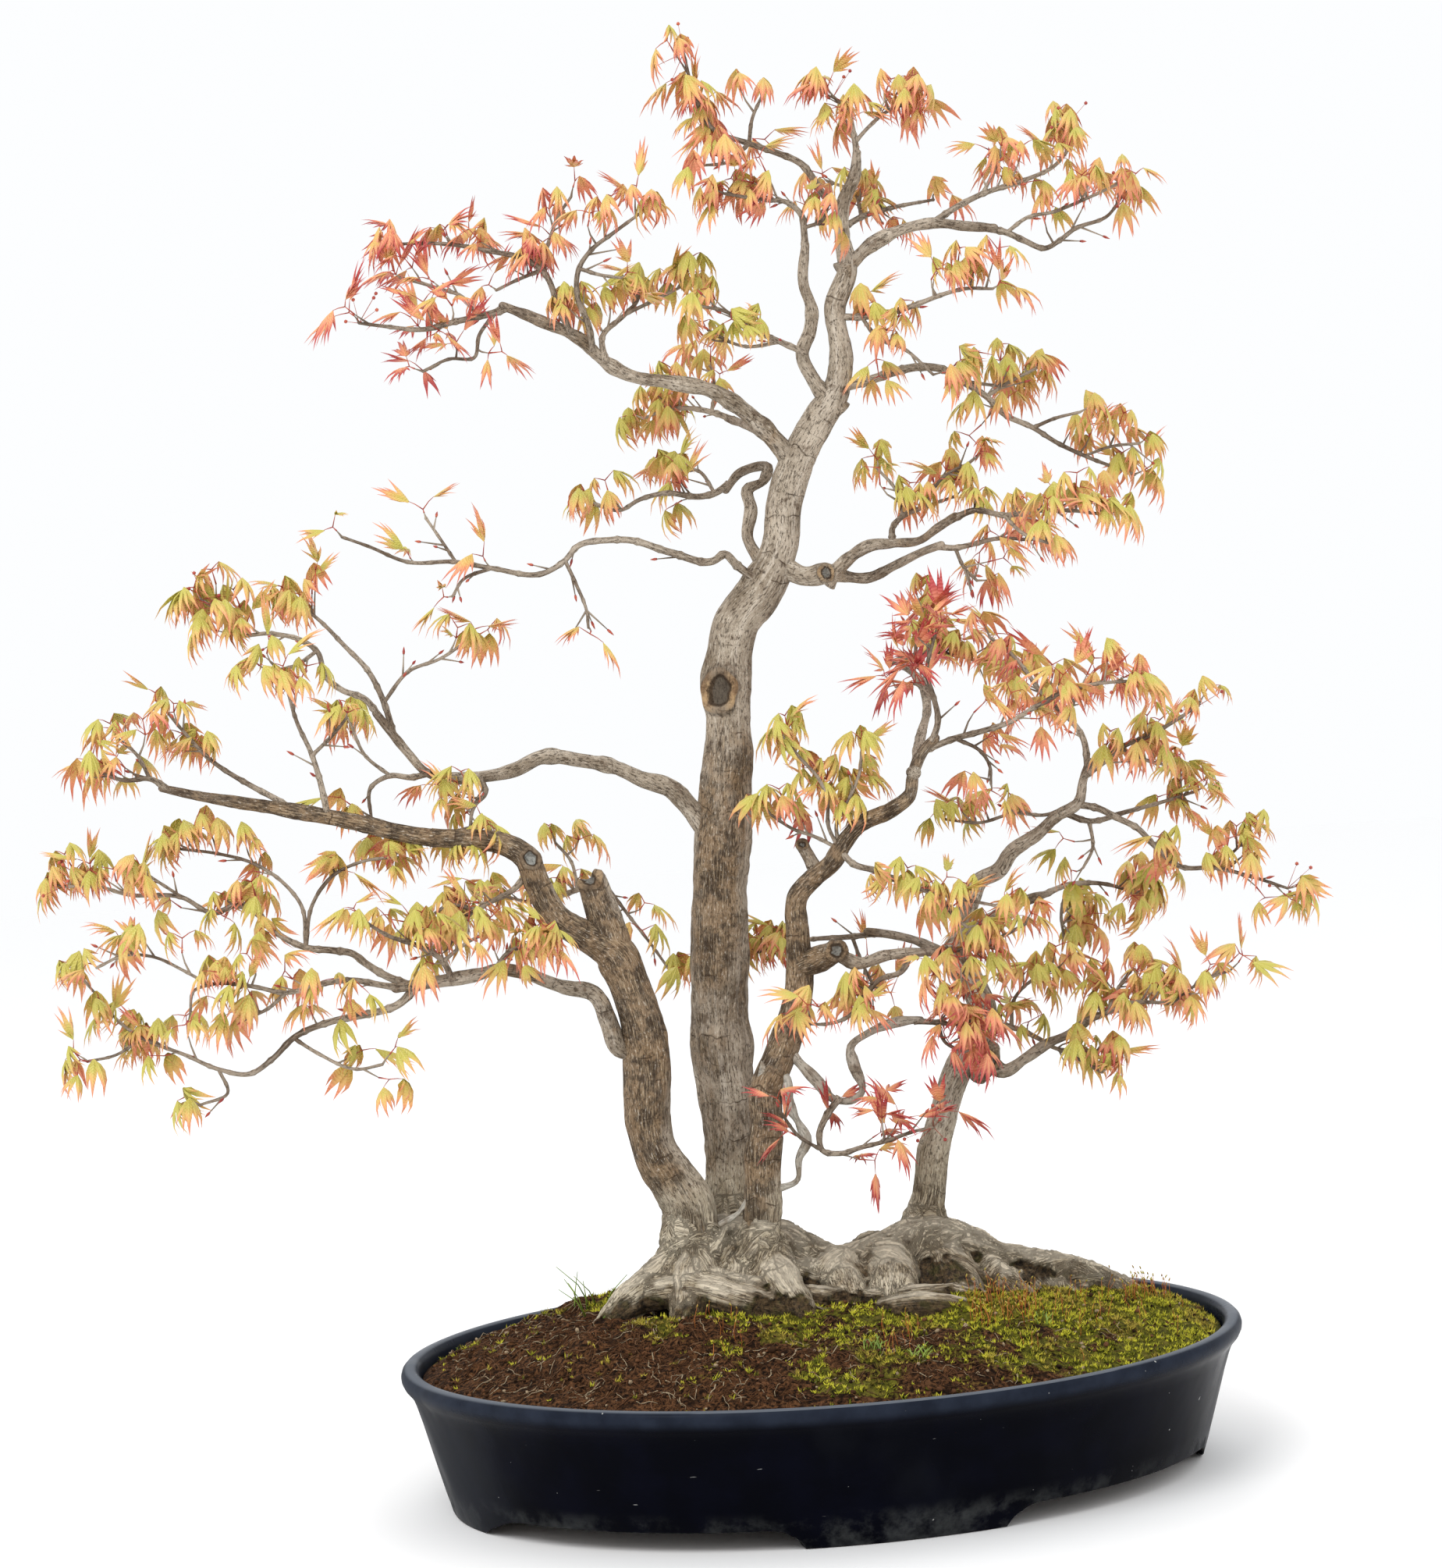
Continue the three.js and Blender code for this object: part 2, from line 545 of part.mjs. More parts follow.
    name: 'spray_centre_green', leaves: 5, depth: [-40, -92], radius: [2.2, 1],
    path: [[538, 544], [546, 553], [562, 558], [581, 567], [603, 573], [637, 580]],
    offshoots: [[4, -80, [[612, 588], [620, 594]]]],
  },
  {
    name: 'spray_low_centre', leaves: 6, depth: [-46, -78], radius: [2.4, 1],
    path: [
      [538, 703], [529, 716], [525, 727], [527, 737], [538, 739], [552, 735], [568, 731], [585, 725],
      [598, 722],
    ],
    offshoots: [[3, -84, [[512, 728], [500, 712]]]],
  },
  {
    name: 'spray_low_centre_right', leaves: 5, depth: [-61, -74], radius: [2.2, 1],
    path: [[586, 654], [600, 655], [612, 656], [626, 653]],
    offshoots: [[1, -80, [[606, 668], [618, 674]]]],
  },
  {
    name: 'spray_right_fork_left', leaves: 5, depth: [-8, 22], radius: [2.2, 1],
    path: [[697, 492], [694, 473], [684, 459], [672, 449], [650, 421], [634, 408]],
    offshoots: [[2, 24, [[690, 446], [700, 436]]]],
  },
  {
    name: 'spray_right_fork_outer', leaves: 6, depth: [-7, -36], radius: [2.2, 1],
    path: [[694, 498], [706, 489], [718, 479], [737, 471], [751, 463], [768, 452]],
    offshoots: [[2, -6, [[732, 486], [746, 490]]]],
  },
  {
    name: 'spray_far_right', leaves: 7, depth: [-3, -24], radius: [2.4, 1],
    path: [
      [688, 515], [704, 518], [716, 524], [728, 530], [741, 543], [756, 555], [779, 556], [800, 561],
      [825, 569],
    ],
    offshoots: [[6, -4, [[790, 546], [800, 536]]]],
  },
  {
    name: 'spray_right_shoulder', leaves: 4, depth: [0, 40], radius: [2.2, 1],
    path: [[680, 520], [698, 526], [722, 520], [744, 514], [766, 507]],
    offshoots: [[1, 24, [[700, 544], [694, 556]]]],
  },
  {
    name: 'spray_low_right_tip', leaves: 6, depth: [-11, -30], radius: [2.4, 1],
    path: [[696, 654], [710, 648], [722, 643], [736, 642], [751, 643]],
    offshoots: [[1, 6, [[716, 634], [726, 620]]]],
  },
  {
    name: 'spray_low_right_under', leaves: 5, depth: [28, 0], radius: [2.4, 1],
    path: [[630, 656], [648, 658], [665, 665], [675, 671], [703, 673]],
    offshoots: [[3, -14, [[692, 679], [706, 687]]]],
  },
  {
    name: 'spray_back_centre', leaves: 5, depth: [56, 84], radius: [2.2, 1],
    path: [[562, 598], [546, 600], [518, 602], [499, 606], [486, 610]],
    offshoots: [[1, 60, [[552, 616], [560, 632]]]],
  },
  {
    name: 'spray_back_right', leaves: 5, depth: [108, 130], radius: [2.3, 1],
    path: [[667, 574], [684, 567], [706, 566], [728, 572]],
    offshoots: [[1, 146, [[680, 586], [682, 602]]]],
  },
  {
    name: 'spray_back_high_right', leaves: 6, depth: [119, 150], radius: [2.4, 1],
    path: [[570, 425], [586, 420], [614, 420], [638, 428]],
    offshoots: [[1, 154, [[590, 402], [596, 388]]]],
  },
  {
    name: 'spray_right_high_tip', leaves: 6, depth: [-45, -68], radius: [2.2, 1],
    path: [[608, 334], [624, 327], [643, 330], [668, 327], [685, 327], [710, 330]],
    offshoots: [[2, -84, [[656, 342], [672, 348]]]],
  },
  {
    name: 'spray_right_high_bare', leaves: 4, depth: [8, 22], radius: [2.2, 1],
    path: [[599, 350], [612, 351], [622, 349], [639, 345], [661, 346]],
    offshoots: [[1, 26, [[618, 364], [626, 372]]]],
  },
  {
    name: 'spray_right_high_back', leaves: 4, depth: [-26, 46], radius: [2.2, 1],
    path: [[572, 348], [572, 338], [578, 331], [592, 325], [612, 318]],
    offshoots: [],
  },
  {
    name: 'spray_right_upper', leaves: 7, depth: [0, 74], radius: [3.2, 1],
    path: [
      [537, 249], [559, 243], [574, 238], [590, 235], [605, 237], [616, 244], [632, 254], [643, 265],
      [662, 274], [678, 284], [695, 292], [727, 304],
    ],
    offshoots: [
      [5, 64, [[630, 246], [646, 248]]],
      [8, 36, [[676, 268], [692, 264]]],
    ],
  },
  {
    name: 'spray_right_small', leaves: 5, depth: [-2, -48], radius: [2.4, 1],
    path: [[537, 203], [552, 203], [572, 200], [590, 194], [603, 189], [618, 185], [636, 185]],
    offshoots: [[1, -30, [[562, 216], [580, 224], [598, 240]]]],
  },
];
const OFFSHOOT_RADIUS = 1.4;

// A spray's main twig and its offshoots, as stations.
function twigsOf({ path, depth, radius, offshoots }) {
  const main = branch(path, depth, radius);
  const side = offshoots.map(([station, tipDepth, points]) => {
    const start = pathDepths(path, depth)[station];
    return branch([path[station], ...points], [start, tipDepth], [OFFSHOOT_RADIUS, radius[1]]);
  });
  return [main, ...side];
}

// The pot's plan is an oval that is rounder at the rim than at the base.
function ovalness(height) {
  return THREE.MathUtils.lerp(BASE_OVALNESS, RIM_OVALNESS, height / POT_HEIGHT);
}

function ovalLathe(profile, rise = () => 0) {
  const geometry = new THREE.LatheGeometry(profile.map(([r, z]) => new THREE.Vector2(r, z)), POT_SIDES);
  const position = geometry.attributes.position;
  for (let i = 0; i < position.count; i += 1) {
    const x = position.getX(i);
    const z = position.getY(i);
    const y = -position.getZ(i) * ovalness(z);
    position.setXYZ(i, x, y, z + rise(x, y, z));
  }
  return solidOf(geometry);
}

// Inner wall of the pot, which the soil follows: [radius, height] from the floor to the lip.
const INNER_WALL = [
  [INNER_FLOOR_RADIUS, FLOOR_TOP],
  [INNER_RIM_RADIUS, SOIL_EDGE_HEIGHT - 4],
];

function makePot() {
  const body = ovalLathe([
    [0, FLOOR_UNDERSIDE],
    [FOOT_RING_INNER, FLOOR_UNDERSIDE],
    [FOOT_RING_INNER + 2, 0],
    [BASE_RADIUS, 0],
    [BASE_RADIUS + 4, FOOT_HEIGHT],
    [RIM_RADIUS - 7, POT_HEIGHT - 17],
    [RIM_RADIUS, POT_HEIGHT - 9],
    [RIM_RADIUS - 2, POT_HEIGHT],
    [RIM_RADIUS - 9, POT_HEIGHT],
    [INNER_RIM_RADIUS, POT_HEIGHT - 3],
    ...INNER_WALL.slice().reverse(),
    [0, FLOOR_TOP],
  ]);
  let pot = body;
  for (const side of [-1, 1]) {
    pot = pot.subtract(footRecess(side));
    pot = pot.subtract(drainHole(side));
  }
  return onePiece(pot);
}

// The cloud-cut gap between the centre foot and an end foot, through the front and the back wall.
function footRecess(side) {
  const outline = new THREE.Shape();
  const from = CENTRE_FOOT_HALF;
  const to = END_FOOT_START;
  outline.moveTo(from, -1);
  outline.quadraticCurveTo(from + 2, 6, from + 10, FOOT_HEIGHT - 4);
  outline.quadraticCurveTo(from + 15, FOOT_HEIGHT, from + 24, FOOT_HEIGHT);
  outline.lineTo(to - 20, FOOT_HEIGHT);
  outline.quadraticCurveTo(to - 10, FOOT_HEIGHT, to - 7, FOOT_HEIGHT - 5);
  outline.quadraticCurveTo(to - 2, 5, to, -1);
  const depth = 2 * RIM_RADIUS;
  const geometry = new THREE.ExtrudeGeometry(outline, { depth, bevelEnabled: false, curveSegments: 2 });
  geometry.rotateX(Math.PI / 2);
  geometry.translate(0, depth / 2, 0);
  if (side < 0) {
    geometry.rotateZ(Math.PI);
  }
  return solidOf(geometry);
}

function drainHole(side) {
  const geometry = new THREE.CylinderGeometry(DRAIN_RADIUS, DRAIN_RADIUS, 30, 14);
  geometry.rotateX(Math.PI / 2);
  geometry.translate(side * DRAIN_OFFSET, 0, FLOOR_UNDERSIDE);
  return solidOf(geometry);
}

// A slotted plastic screen that lies over each drain hole, under the soil.
function makeScreen(side) {
  const plate = new THREE.BoxGeometry(SCREEN_SIDE, SCREEN_SIDE, SCREEN_THICKNESS);
  const pitch = SCREEN_SIDE / (SCREEN_SLOTS + 1);
  let screen = solidOf(plate);
  for (let i = 1; i <= SCREEN_SLOTS; i += 1) {
    const slot = new THREE.BoxGeometry(SLOT_WIDTH, SCREEN_SIDE - 12, 3 * SCREEN_THICKNESS);
    slot.translate(i * pitch - SCREEN_SIDE / 2, 0, 0);
    screen = screen.subtract(solidOf(slot));
  }
  return screen.translate([side * DRAIN_OFFSET, 0, FLOOR_TOP + SEAT_GAP + SCREEN_THICKNESS / 2]);
}

// The soil is a low mound: nearly flat on top, steep towards the rim, with a few soft swells.
function makeSoil(rootsClear) {
  const wall = INNER_WALL.map(([r, z], i) => [r - SOIL_WALL_GAP, i === 0 ? z + SEAT_GAP : z]);
  const edge = wall[wall.length - 1][0];
  const shares = [0.96, 0.85, 0.6];
  const crown = (share) => SOIL_EDGE_HEIGHT + SOIL_CROWN * (1 - share ** SOIL_SHOULDER);
  const swell = (x, y, z) => {
    if (z < SOIL_EDGE_HEIGHT) {
      return 0;
    }
    return 1.6 * Math.sin(x / 31 + 1) * Math.cos(y / 27) + 0.9 * Math.sin(x / 13 + y / 17);
  };
  const mound = ovalLathe([
    [0, wall[0][1]],
    ...wall,
    ...shares.map((share) => [edge * share, crown(share)]),
    [0, crown(0)],
  ], swell);
  let soil = mound.subtract(rootsClear);
  for (const side of [-1, 1]) {
    const depth = SCREEN_THICKNESS + 2 * SEAT_GAP;
    const room = new THREE.BoxGeometry(SCREEN_SIDE + 1, SCREEN_SIDE + 1, 2 * depth);
    room.translate(side * DRAIN_OFFSET, 0, FLOOR_TOP);
    soil = soil.subtract(solidOf(room));
  }
  return onePiece(soil);
}

// Roots, trunks and branches grew as one piece of wood, whose underside ends flat in the soil.
function makeWood(grow) {
  const trunk = (stations, sides, phase) => (
    limbSolid(thinned(stations, BRANCH_TOLERANCE), sides, { grow, flute: 0.06, phase })
  );
  const parts = [
    ...ROOT_BASE.map((stations, i) => (
      limbSolid(thinned(stations, BASE_TOLERANCE), 7, { grow, flute: 0.07, phase: i })
    )),
    ...ROOTS.map((stations, i) => limbSolid(stations, 4, { grow, flute: 0.09, phase: 2 * i })),
    trunk(MAIN_TRUNK, 8, 0.4),
    trunk(LEFT_TRUNK, 7, 1.3),
    trunk(SLIM_TRUNK, 6, 2.1),
    trunk(RIGHT_TRUNK, 6, 3),
    ...BRANCHES.map((stations) => limbSolid(thinned(stations, BRANCH_TOLERANCE), 4, { grow })),
  ];
  const buried = new THREE.BoxGeometry(2 * RIM_RADIUS, 2 * RIM_RADIUS, WOOD_UNDERSIDE - grow);
  buried.translate(0, 0, (WOOD_UNDERSIDE - grow) / 2);
  return onePiece(fuse(parts).subtract(solidOf(buried)));
}

// One young maple leaf with its stalk: five narrow lobes that droop like a half-shut umbrella.
const LOBES = [
  { turn: -1.5, reach: 0.56 },
  { turn: -0.74, reach: 0.86 },
  { turn: 0, reach: 1 },
  { turn: 0.74, reach: 0.86 },
  { turn: 1.5, reach: 0.56 },
];
const SINUS_REACH = 0.27;
const LEAF_HEART = 0.16;
const LOBE_DROOP = 0.3;

// The blade's points and triangles, open where the stalk joins it; the mouth names the opening's corners.
function leafBlade({ base, axis, face, length }) {
  const side = new THREE.Vector3().crossVectors(face, axis);
  const onBlade = (along, across, lift) => base.clone()
    .addScaledVector(axis, along)
    .addScaledVector(side, across)
    .addScaledVector(face, lift);
  const heart = length * LEAF_HEART;
  const edge = [[0, LEAF_NECK, 0]];
  LOBES.forEach(({ turn, reach }, i) => {
    if (i > 0) {
      const between = (LOBES[i - 1].turn + turn) / 2;
      const notch = length * SINUS_REACH;
      edge.push([heart + notch * Math.cos(between), -notch * Math.sin(between), 0]);
    }
    const tip = length * reach * (1 - LEAF_HEART);
    edge.push([heart + tip * Math.cos(turn), -tip * Math.sin(turn), -LOBE_DROOP * tip]);
  });
  edge.push([0, -LEAF_NECK, 0]);
  const points = [
    onBlade(heart, 0, LEAF_HALF_THICKNESS),
    onBlade(heart, 0, -LEAF_HALF_THICKNESS),
    ...edge.map((e) => onBlade(...e)),
  ];
  const first = 2;
  const final = points.length - 1;
  const triangles = [[0, first, final]];
  for (let i = first; i < final; i += 1) {
    triangles.push([0, i + 1, i], [1, i, i + 1]);
  }
  return { points, triangles, mouth: [first, final, 1] };
}

// Joins two three-cornered loops of a skin by a short sleeve, turned to the least twist.
function bridge(skin, lower, upper) {
  const spread = (turn) => lower.reduce((sum, corner, k) => (
    sum + skin.points[corner].distanceTo(skin.points[upper[(k + turn) % 3]])
  ), 0);
  const turn = [0, 1, 2].reduce((best, t) => (spread(t) < spread(best) ? t : best));
  for (let k = 0; k < 3; k += 1) {
    const next = (k + 1) % 3;
    const above = upper[(k + turn) % 3];
    const aboveNext = upper[(next + turn) % 3];
    skin.triangles.push([lower[k], lower[next], aboveNext], [lower[k], aboveNext, above]);
  }
}

function addBlade(skin, posture) {
  const blade = leafBlade(posture);
  const offset = skin.points.length;
  skin.points.push(...blade.points);
  skin.triangles.push(...blade.triangles.map((corners) => corners.map((corner) => corner + offset)));
  return blade.mouth.map((corner) => corner + offset);
}

// A leaf by itself, with most of its stalk, for finding out what it would touch.
function looseLeaf(posture) {
  const skin = { points: [], triangles: [] };
  const mouth = addBlade(skin, posture);
  const middle = posture.root.clone().lerp(posture.base, 0.25);
  const neck = skin.points[mouth[0]].clone().add(skin.points[mouth[1]]).add(skin.points[mouth[2]]);
  neck.divideScalar(3);
  const foot = mouth.map((corner) => {
    skin.points.push(skin.points[corner].clone().sub(neck).multiplyScalar(0.5).add(middle));
    return skin.points.length - 1;
  });
  bridge(skin, foot, mouth);
  skin.triangles.push([foot[0], foot[2], foot[1]]);
  return closedMesh(skin.points, skin.triangles);
}

function lengthsAlong(stations) {
  const lengths = [0];
  for (let i = 1; i < stations.length; i += 1) {
    lengths.push(lengths[i - 1] + stations[i].at.distanceTo(stations[i - 1].at));
  }
  return lengths;
}

function stationAt(stations, lengths, along) {
  let i = 1;
  while (i < stations.length - 1 && lengths[i] < along) {
    i += 1;
  }
  const share = (along - lengths[i - 1]) / (lengths[i] - lengths[i - 1]);
  return {
    at: stations[i - 1].at.clone().lerp(stations[i].at, share),
    radius: THREE.MathUtils.lerp(stations[i - 1].radius, stations[i].radius, share),
    direction: stations[i].at.clone().sub(stations[i - 1].at).normalize(),
  };
}

// The rings of a three-sided twig: at its bends, and a close pair where each shoot leaves it.
function twigRings(skin, stations, shoots, fromRoot) {
  const lengths = lengthsAlong(stations);
  const total = lengths[lengths.length - 1];
  const hasRoom = (along) => shoots.every((shoot) => Math.abs(shoot.along - along) > SHOOT_ROOM);
  const spots = lengths
    .filter((along, i) => (i > 0 || !fromRoot) && hasRoom(along))
    .map((along) => ({ along }));
  for (const shoot of shoots.filter((s) => s.along < total)) {
    spots.push({ along: shoot.along - SHOOT_HALF, shoot }, { along: shoot.along + SHOOT_HALF });
  }
  if (!spots.some(({ along }) => along === total)) {
    spots.push({ along: total });
  }
  spots.sort((a, b) => a.along - b.along);
  let across = new THREE.Vector3(0.3, 1, 0.2);
  return spots.map(({ along, shoot }) => {
    const { at, radius } = stationAt(stations, lengths, along);
    const behind = stationAt(stations, lengths, Math.max(along - 2, 0)).at;
    const direction = stationAt(stations, lengths, Math.min(along + 2, total)).at.sub(behind).normalize();
    across = across.clone().addScaledVector(direction, -across.dot(direction)).normalize();
    const other = new THREE.Vector3().crossVectors(direction, across);
    const loop = [0, 1, 2].map((k) => {
      const turn = (2 * Math.PI * k) / 3;
      skin.points.push(at.clone()
        .addScaledVector(across, radius * Math.cos(turn))
        .addScaledVector(other, radius * Math.sin(turn)));
      return skin.points.length - 1;
    });
    return { at, direction, loop, shoot };
  });
}

// Grows a twig's skin from a root loop, or from a closed end, with every shoot that leaves it.
function growTwig(skin, stations, shoots, rootLoop, growShoot) {
  const rings = twigRings(skin, stations, shoots, rootLoop !== null);
  if (rootLoop === null) {
    const [a, b, c] = rings[0].loop;
    skin.triangles.push([a, c, b]);
  } else {
    bridge(skin, rootLoop, rings[0].loop);
  }
  for (let i = 0; i < rings.length - 1; i += 1) {
    const { loop, shoot, at, direction } = rings[i];
    const above = rings[i + 1].loop;
    const faces = [0, 1, 2].map((k) => {
      const next = (k + 1) % 3;
      return { near: [loop[k], loop[next], above[next]], far: [loop[k], above[next], above[k]] };
    });
    const chosen = shoot ? growShoot({ shoot, at, direction, faces }) : null;
    for (const face of faces) {
      skin.triangles.push(face.far);
      if (face !== chosen) {
        skin.triangles.push(face.near);
      }
    }
  }
  const end = rings[rings.length - 1];
  const tipShoot = shoots.find((s) => s.tip);
  const closed = !tipShoot || !growShoot({ shoot: tipShoot, at: end.at, direction: end.direction, end });
  if (closed) {
    skin.triangles.push(end.loop);
  }
}

// Places where leaves grow on a twig: at its tip, then back along its outer part.
function leafShoots(stations, count, taken) {
  const lengths = lengthsAlong(stations);
  const total = lengths[lengths.length - 1];
  return Array.from({ length: count }, (_, i) => {
    if (i === 0) {
      return { along: total, tip: true };
    }
    let along = total * (1 - (1 - BARE_SHARE) * (i / count));
    while (taken.some((other) => Math.abs(other - along) < SHOOT_ROOM)) {
      along += 1;
    }
    return { along };
  });
}

// A leaf's posture: its stalk leaves the twig outwards and upwards, and its blade hangs from the end.
function leafPosture({ at, direction, shoot }, order, random) {
  const level = new THREE.Vector3(-direction.y, direction.x, 0.001).normalize();
  const other = new THREE.Vector3().crossVectors(direction, level);
  const turn = order * GOLDEN_ANGLE + random() * 1.6;
  const outwards = level.clone().multiplyScalar(Math.cos(turn))
    .addScaledVector(other, Math.sin(turn))
    .addScaledVector(direction, (shoot.tip ? 1.6 : 0.4) + 0.4 * random());
  outwards.z += 0.25;
  outwards.normalize();
  const stalk = THREE.MathUtils.lerp(...STALK_LENGTH, random());
  const base = at.clone().addScaledVector(outwards, stalk);
  const axis = new THREE.Vector3(outwards.x, outwards.y, 0).multiplyScalar(0.8);
  axis.z = -0.35 - 0.75 * random();
  axis.x += 0.5 * (random() - 0.5);
  axis.y += 0.5 * (random() - 0.5);
  axis.normalize();
  const face = new THREE.Vector3(outwards.x, outwards.y, 0).multiplyScalar(0.8);
  face.z = 0.9;
  face.addScaledVector(axis, -face.dot(axis)).normalize();
  const length = THREE.MathUtils.lerp(...LEAF_LENGTH, random());
  return { root: at, outwards, base, axis, face, length };
}

function boxesMeet(a, b) {
  const first = a.boundingBox();
  const second = b.boundingBox();
  return [0, 1, 2].every((k) => first.min[k] <= second.max[k] && second.min[k] <= first.max[k]);
}

function meet(a, b) {
  return boxesMeet(a, b) && !a.intersect(b).isEmpty();
}

const woodClear = makeWood(SEAT_GAP);

// Thinned stations of a spray's twigs, with every station kept where an offshoot starts.
function sprayTwigs(spray) {
  const [main, ...side] = twigsOf(spray);
  const cuts = [0, ...spray.offshoots.map(([station]) => station), main.length - 1];
  cuts.sort((a, b) => a - b);
  const kept = [main[0]];
  for (let i = 1; i < cuts.length; i += 1) {
    kept.push(...thinned(main.slice(cuts[i - 1], cuts[i] + 1), TWIG_TOLERANCE).slice(1));
  }
  return [kept, ...side.map((stations) => thinned(stations, TWIG_TOLERANCE))];
}

function stemSolid(twigs, grow) {
  return fuse(twigs.map((stations) => limbSolid(stations, 3, { grow })));
}

function bestFace(skin, faces, direction) {
  const fit = faces.map((face) => {
    const [a, b, c] = face.near.map((corner) => skin.points[corner]);
    const normal = new THREE.Vector3().crossVectors(b.clone().sub(a), c.clone().sub(a)).normalize();
    return normal.dot(direction);
  });
  const best = fit.indexOf(Math.max(...fit));
  return { face: faces[best], fit: fit[best] };
}

// One spray: its twigs share out the leaves by length, and every leaf stays clear of all that is near.
function makeSpray(spray, twigs, touches, random) {
  const skin = { points: [], triangles: [] };
  const lengths = twigs.map((stations) => lengthsAlong(stations).pop());
  const total = lengths.reduce((a, b) => a + b);
  const counts = lengths.map((length) => Math.max(1, Math.round((spray.leaves * length) / total)));
  let order = 0;
  const growShoot = ({ shoot, at, direction, faces, end }) => {
    if (shoot.offshoot) {
      const { stations } = shoot;
      const towards = stations[1].at.clone().sub(at).normalize();
      const { face } = bestFace(skin, faces, towards);
      growTwig(skin, stations, leafShoots(stations, shoot.leaves, []), face.near, growShoot);
      return face;
    }
    for (let attempt = 0; attempt < LEAF_ATTEMPTS; attempt += 1) {
      order += 1;
      const posture = leafPosture({ at, direction, shoot }, order, random);
      const seat = end ? { fit: 1 } : bestFace(skin, faces, posture.outwards);
      const leaf = looseLeaf(posture);
      if (seat.fit > SHOOT_LEAN && !touches(leaf)) {
        bridge(skin, end ? end.loop : seat.face.near, addBlade(skin, posture));
        return seat.face ?? end;
      }
    }
    return null;
  };
  const mainLengths = lengthsAlong(twigs[0]);
  const offshoots = spray.offshoots.map(([station], i) => {
    const start = branch(spray.path, spray.depth, spray.radius)[station].at;
    const index = twigs[0].findIndex((s) => s.at.distanceTo(start) < 1e-6);
    return { along: mainLengths[index], offshoot: true, stations: twigs[i + 1], leaves: counts[i + 1] };
  });
  const taken = offshoots.map(({ along }) => along);
  growTwig(skin, twigs[0], [...offshoots, ...leafShoots(twigs[0], counts[0], taken)], null, growShoot);
  return closedMesh(skin.points, skin.triangles);
}

function makeSprays() {
  const twigs = SPRAYS.map((spray) => sprayTwigs(spray));
  const stems = twigs.map((group) => stemSolid(group, SEAT_GAP));
  const placed = [];
  return SPRAYS.map((spray, s) => {
    const random = seededRandom(LEAF_SEED + s);
    const ownStem = stemSolid(twigs[s], 0);
    const touches = (leaf) => {
      const blocked = meet(leaf, woodClear) || meet(leaf, ownStem)
        || stems.some((stem, other) => other !== s && meet(leaf, stem))
        || placed.some((other) => meet(leaf, other));
      if (!blocked) {
        placed.push(leaf);
      }
      return blocked;
    };
    const solid = makeSpray(spray, twigs[s], touches, random).subtract(woodClear);
    return { name: spray.name, solid: onePiece(solid) };
  });
}

function meshOf(name, solid, material) {
  const mesh = new THREE.Mesh(geometryOf(solid), material);
  mesh.name = name;
  return mesh;
}

const bonsai = new THREE.Group();
bonsai.name = 'japanese_maple_bonsai';
bonsai.add(meshOf('pot', makePot(), MATERIALS.glaze));
bonsai.add(meshOf('drain_screen_left', makeScreen(-1), MATERIALS.screen));
bonsai.add(meshOf('drain_screen_right', makeScreen(1), MATERIALS.screen));
bonsai.add(meshOf('soil', makeSoil(woodClear), MATERIALS.soil));
bonsai.add(meshOf('wood', makeWood(0), MATERIALS.bark));
for (const { name, solid } of makeSprays()) {
  bonsai.add(meshOf(name, solid, MATERIALS.leaf));
}

// The origin moves to the bottom centre of the whole object.
const extent = new THREE.Box3().setFromObject(bonsai);
const middle = extent.getCenter(new THREE.Vector3());
bonsai.position.set(-middle.x, -middle.y, -extent.min.z);

export default bonsai;
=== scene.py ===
import math
import random

import bpy
import numpy as np
from mathutils import Matrix, Vector
from mathutils.bvhtree import BVHTree
from mathutils.kdtree import KDTree


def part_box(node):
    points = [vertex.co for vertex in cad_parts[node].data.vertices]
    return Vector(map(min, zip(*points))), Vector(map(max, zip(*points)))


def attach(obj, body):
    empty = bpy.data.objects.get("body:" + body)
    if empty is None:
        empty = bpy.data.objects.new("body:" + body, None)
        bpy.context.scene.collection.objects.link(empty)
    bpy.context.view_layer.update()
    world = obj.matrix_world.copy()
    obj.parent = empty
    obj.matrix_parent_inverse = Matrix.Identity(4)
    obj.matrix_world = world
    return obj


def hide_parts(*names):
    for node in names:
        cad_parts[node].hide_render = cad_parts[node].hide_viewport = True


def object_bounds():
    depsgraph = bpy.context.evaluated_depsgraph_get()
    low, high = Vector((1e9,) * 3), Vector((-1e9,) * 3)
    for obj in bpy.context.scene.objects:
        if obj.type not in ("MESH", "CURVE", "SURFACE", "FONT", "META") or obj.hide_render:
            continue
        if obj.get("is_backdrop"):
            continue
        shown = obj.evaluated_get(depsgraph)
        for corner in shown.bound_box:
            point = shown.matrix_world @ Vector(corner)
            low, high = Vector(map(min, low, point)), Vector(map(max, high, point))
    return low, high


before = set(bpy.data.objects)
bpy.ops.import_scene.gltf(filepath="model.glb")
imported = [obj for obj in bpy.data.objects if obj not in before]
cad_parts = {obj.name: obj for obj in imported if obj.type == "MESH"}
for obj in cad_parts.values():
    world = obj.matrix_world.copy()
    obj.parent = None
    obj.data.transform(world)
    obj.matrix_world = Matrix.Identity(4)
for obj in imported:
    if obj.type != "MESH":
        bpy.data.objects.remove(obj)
cad_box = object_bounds()

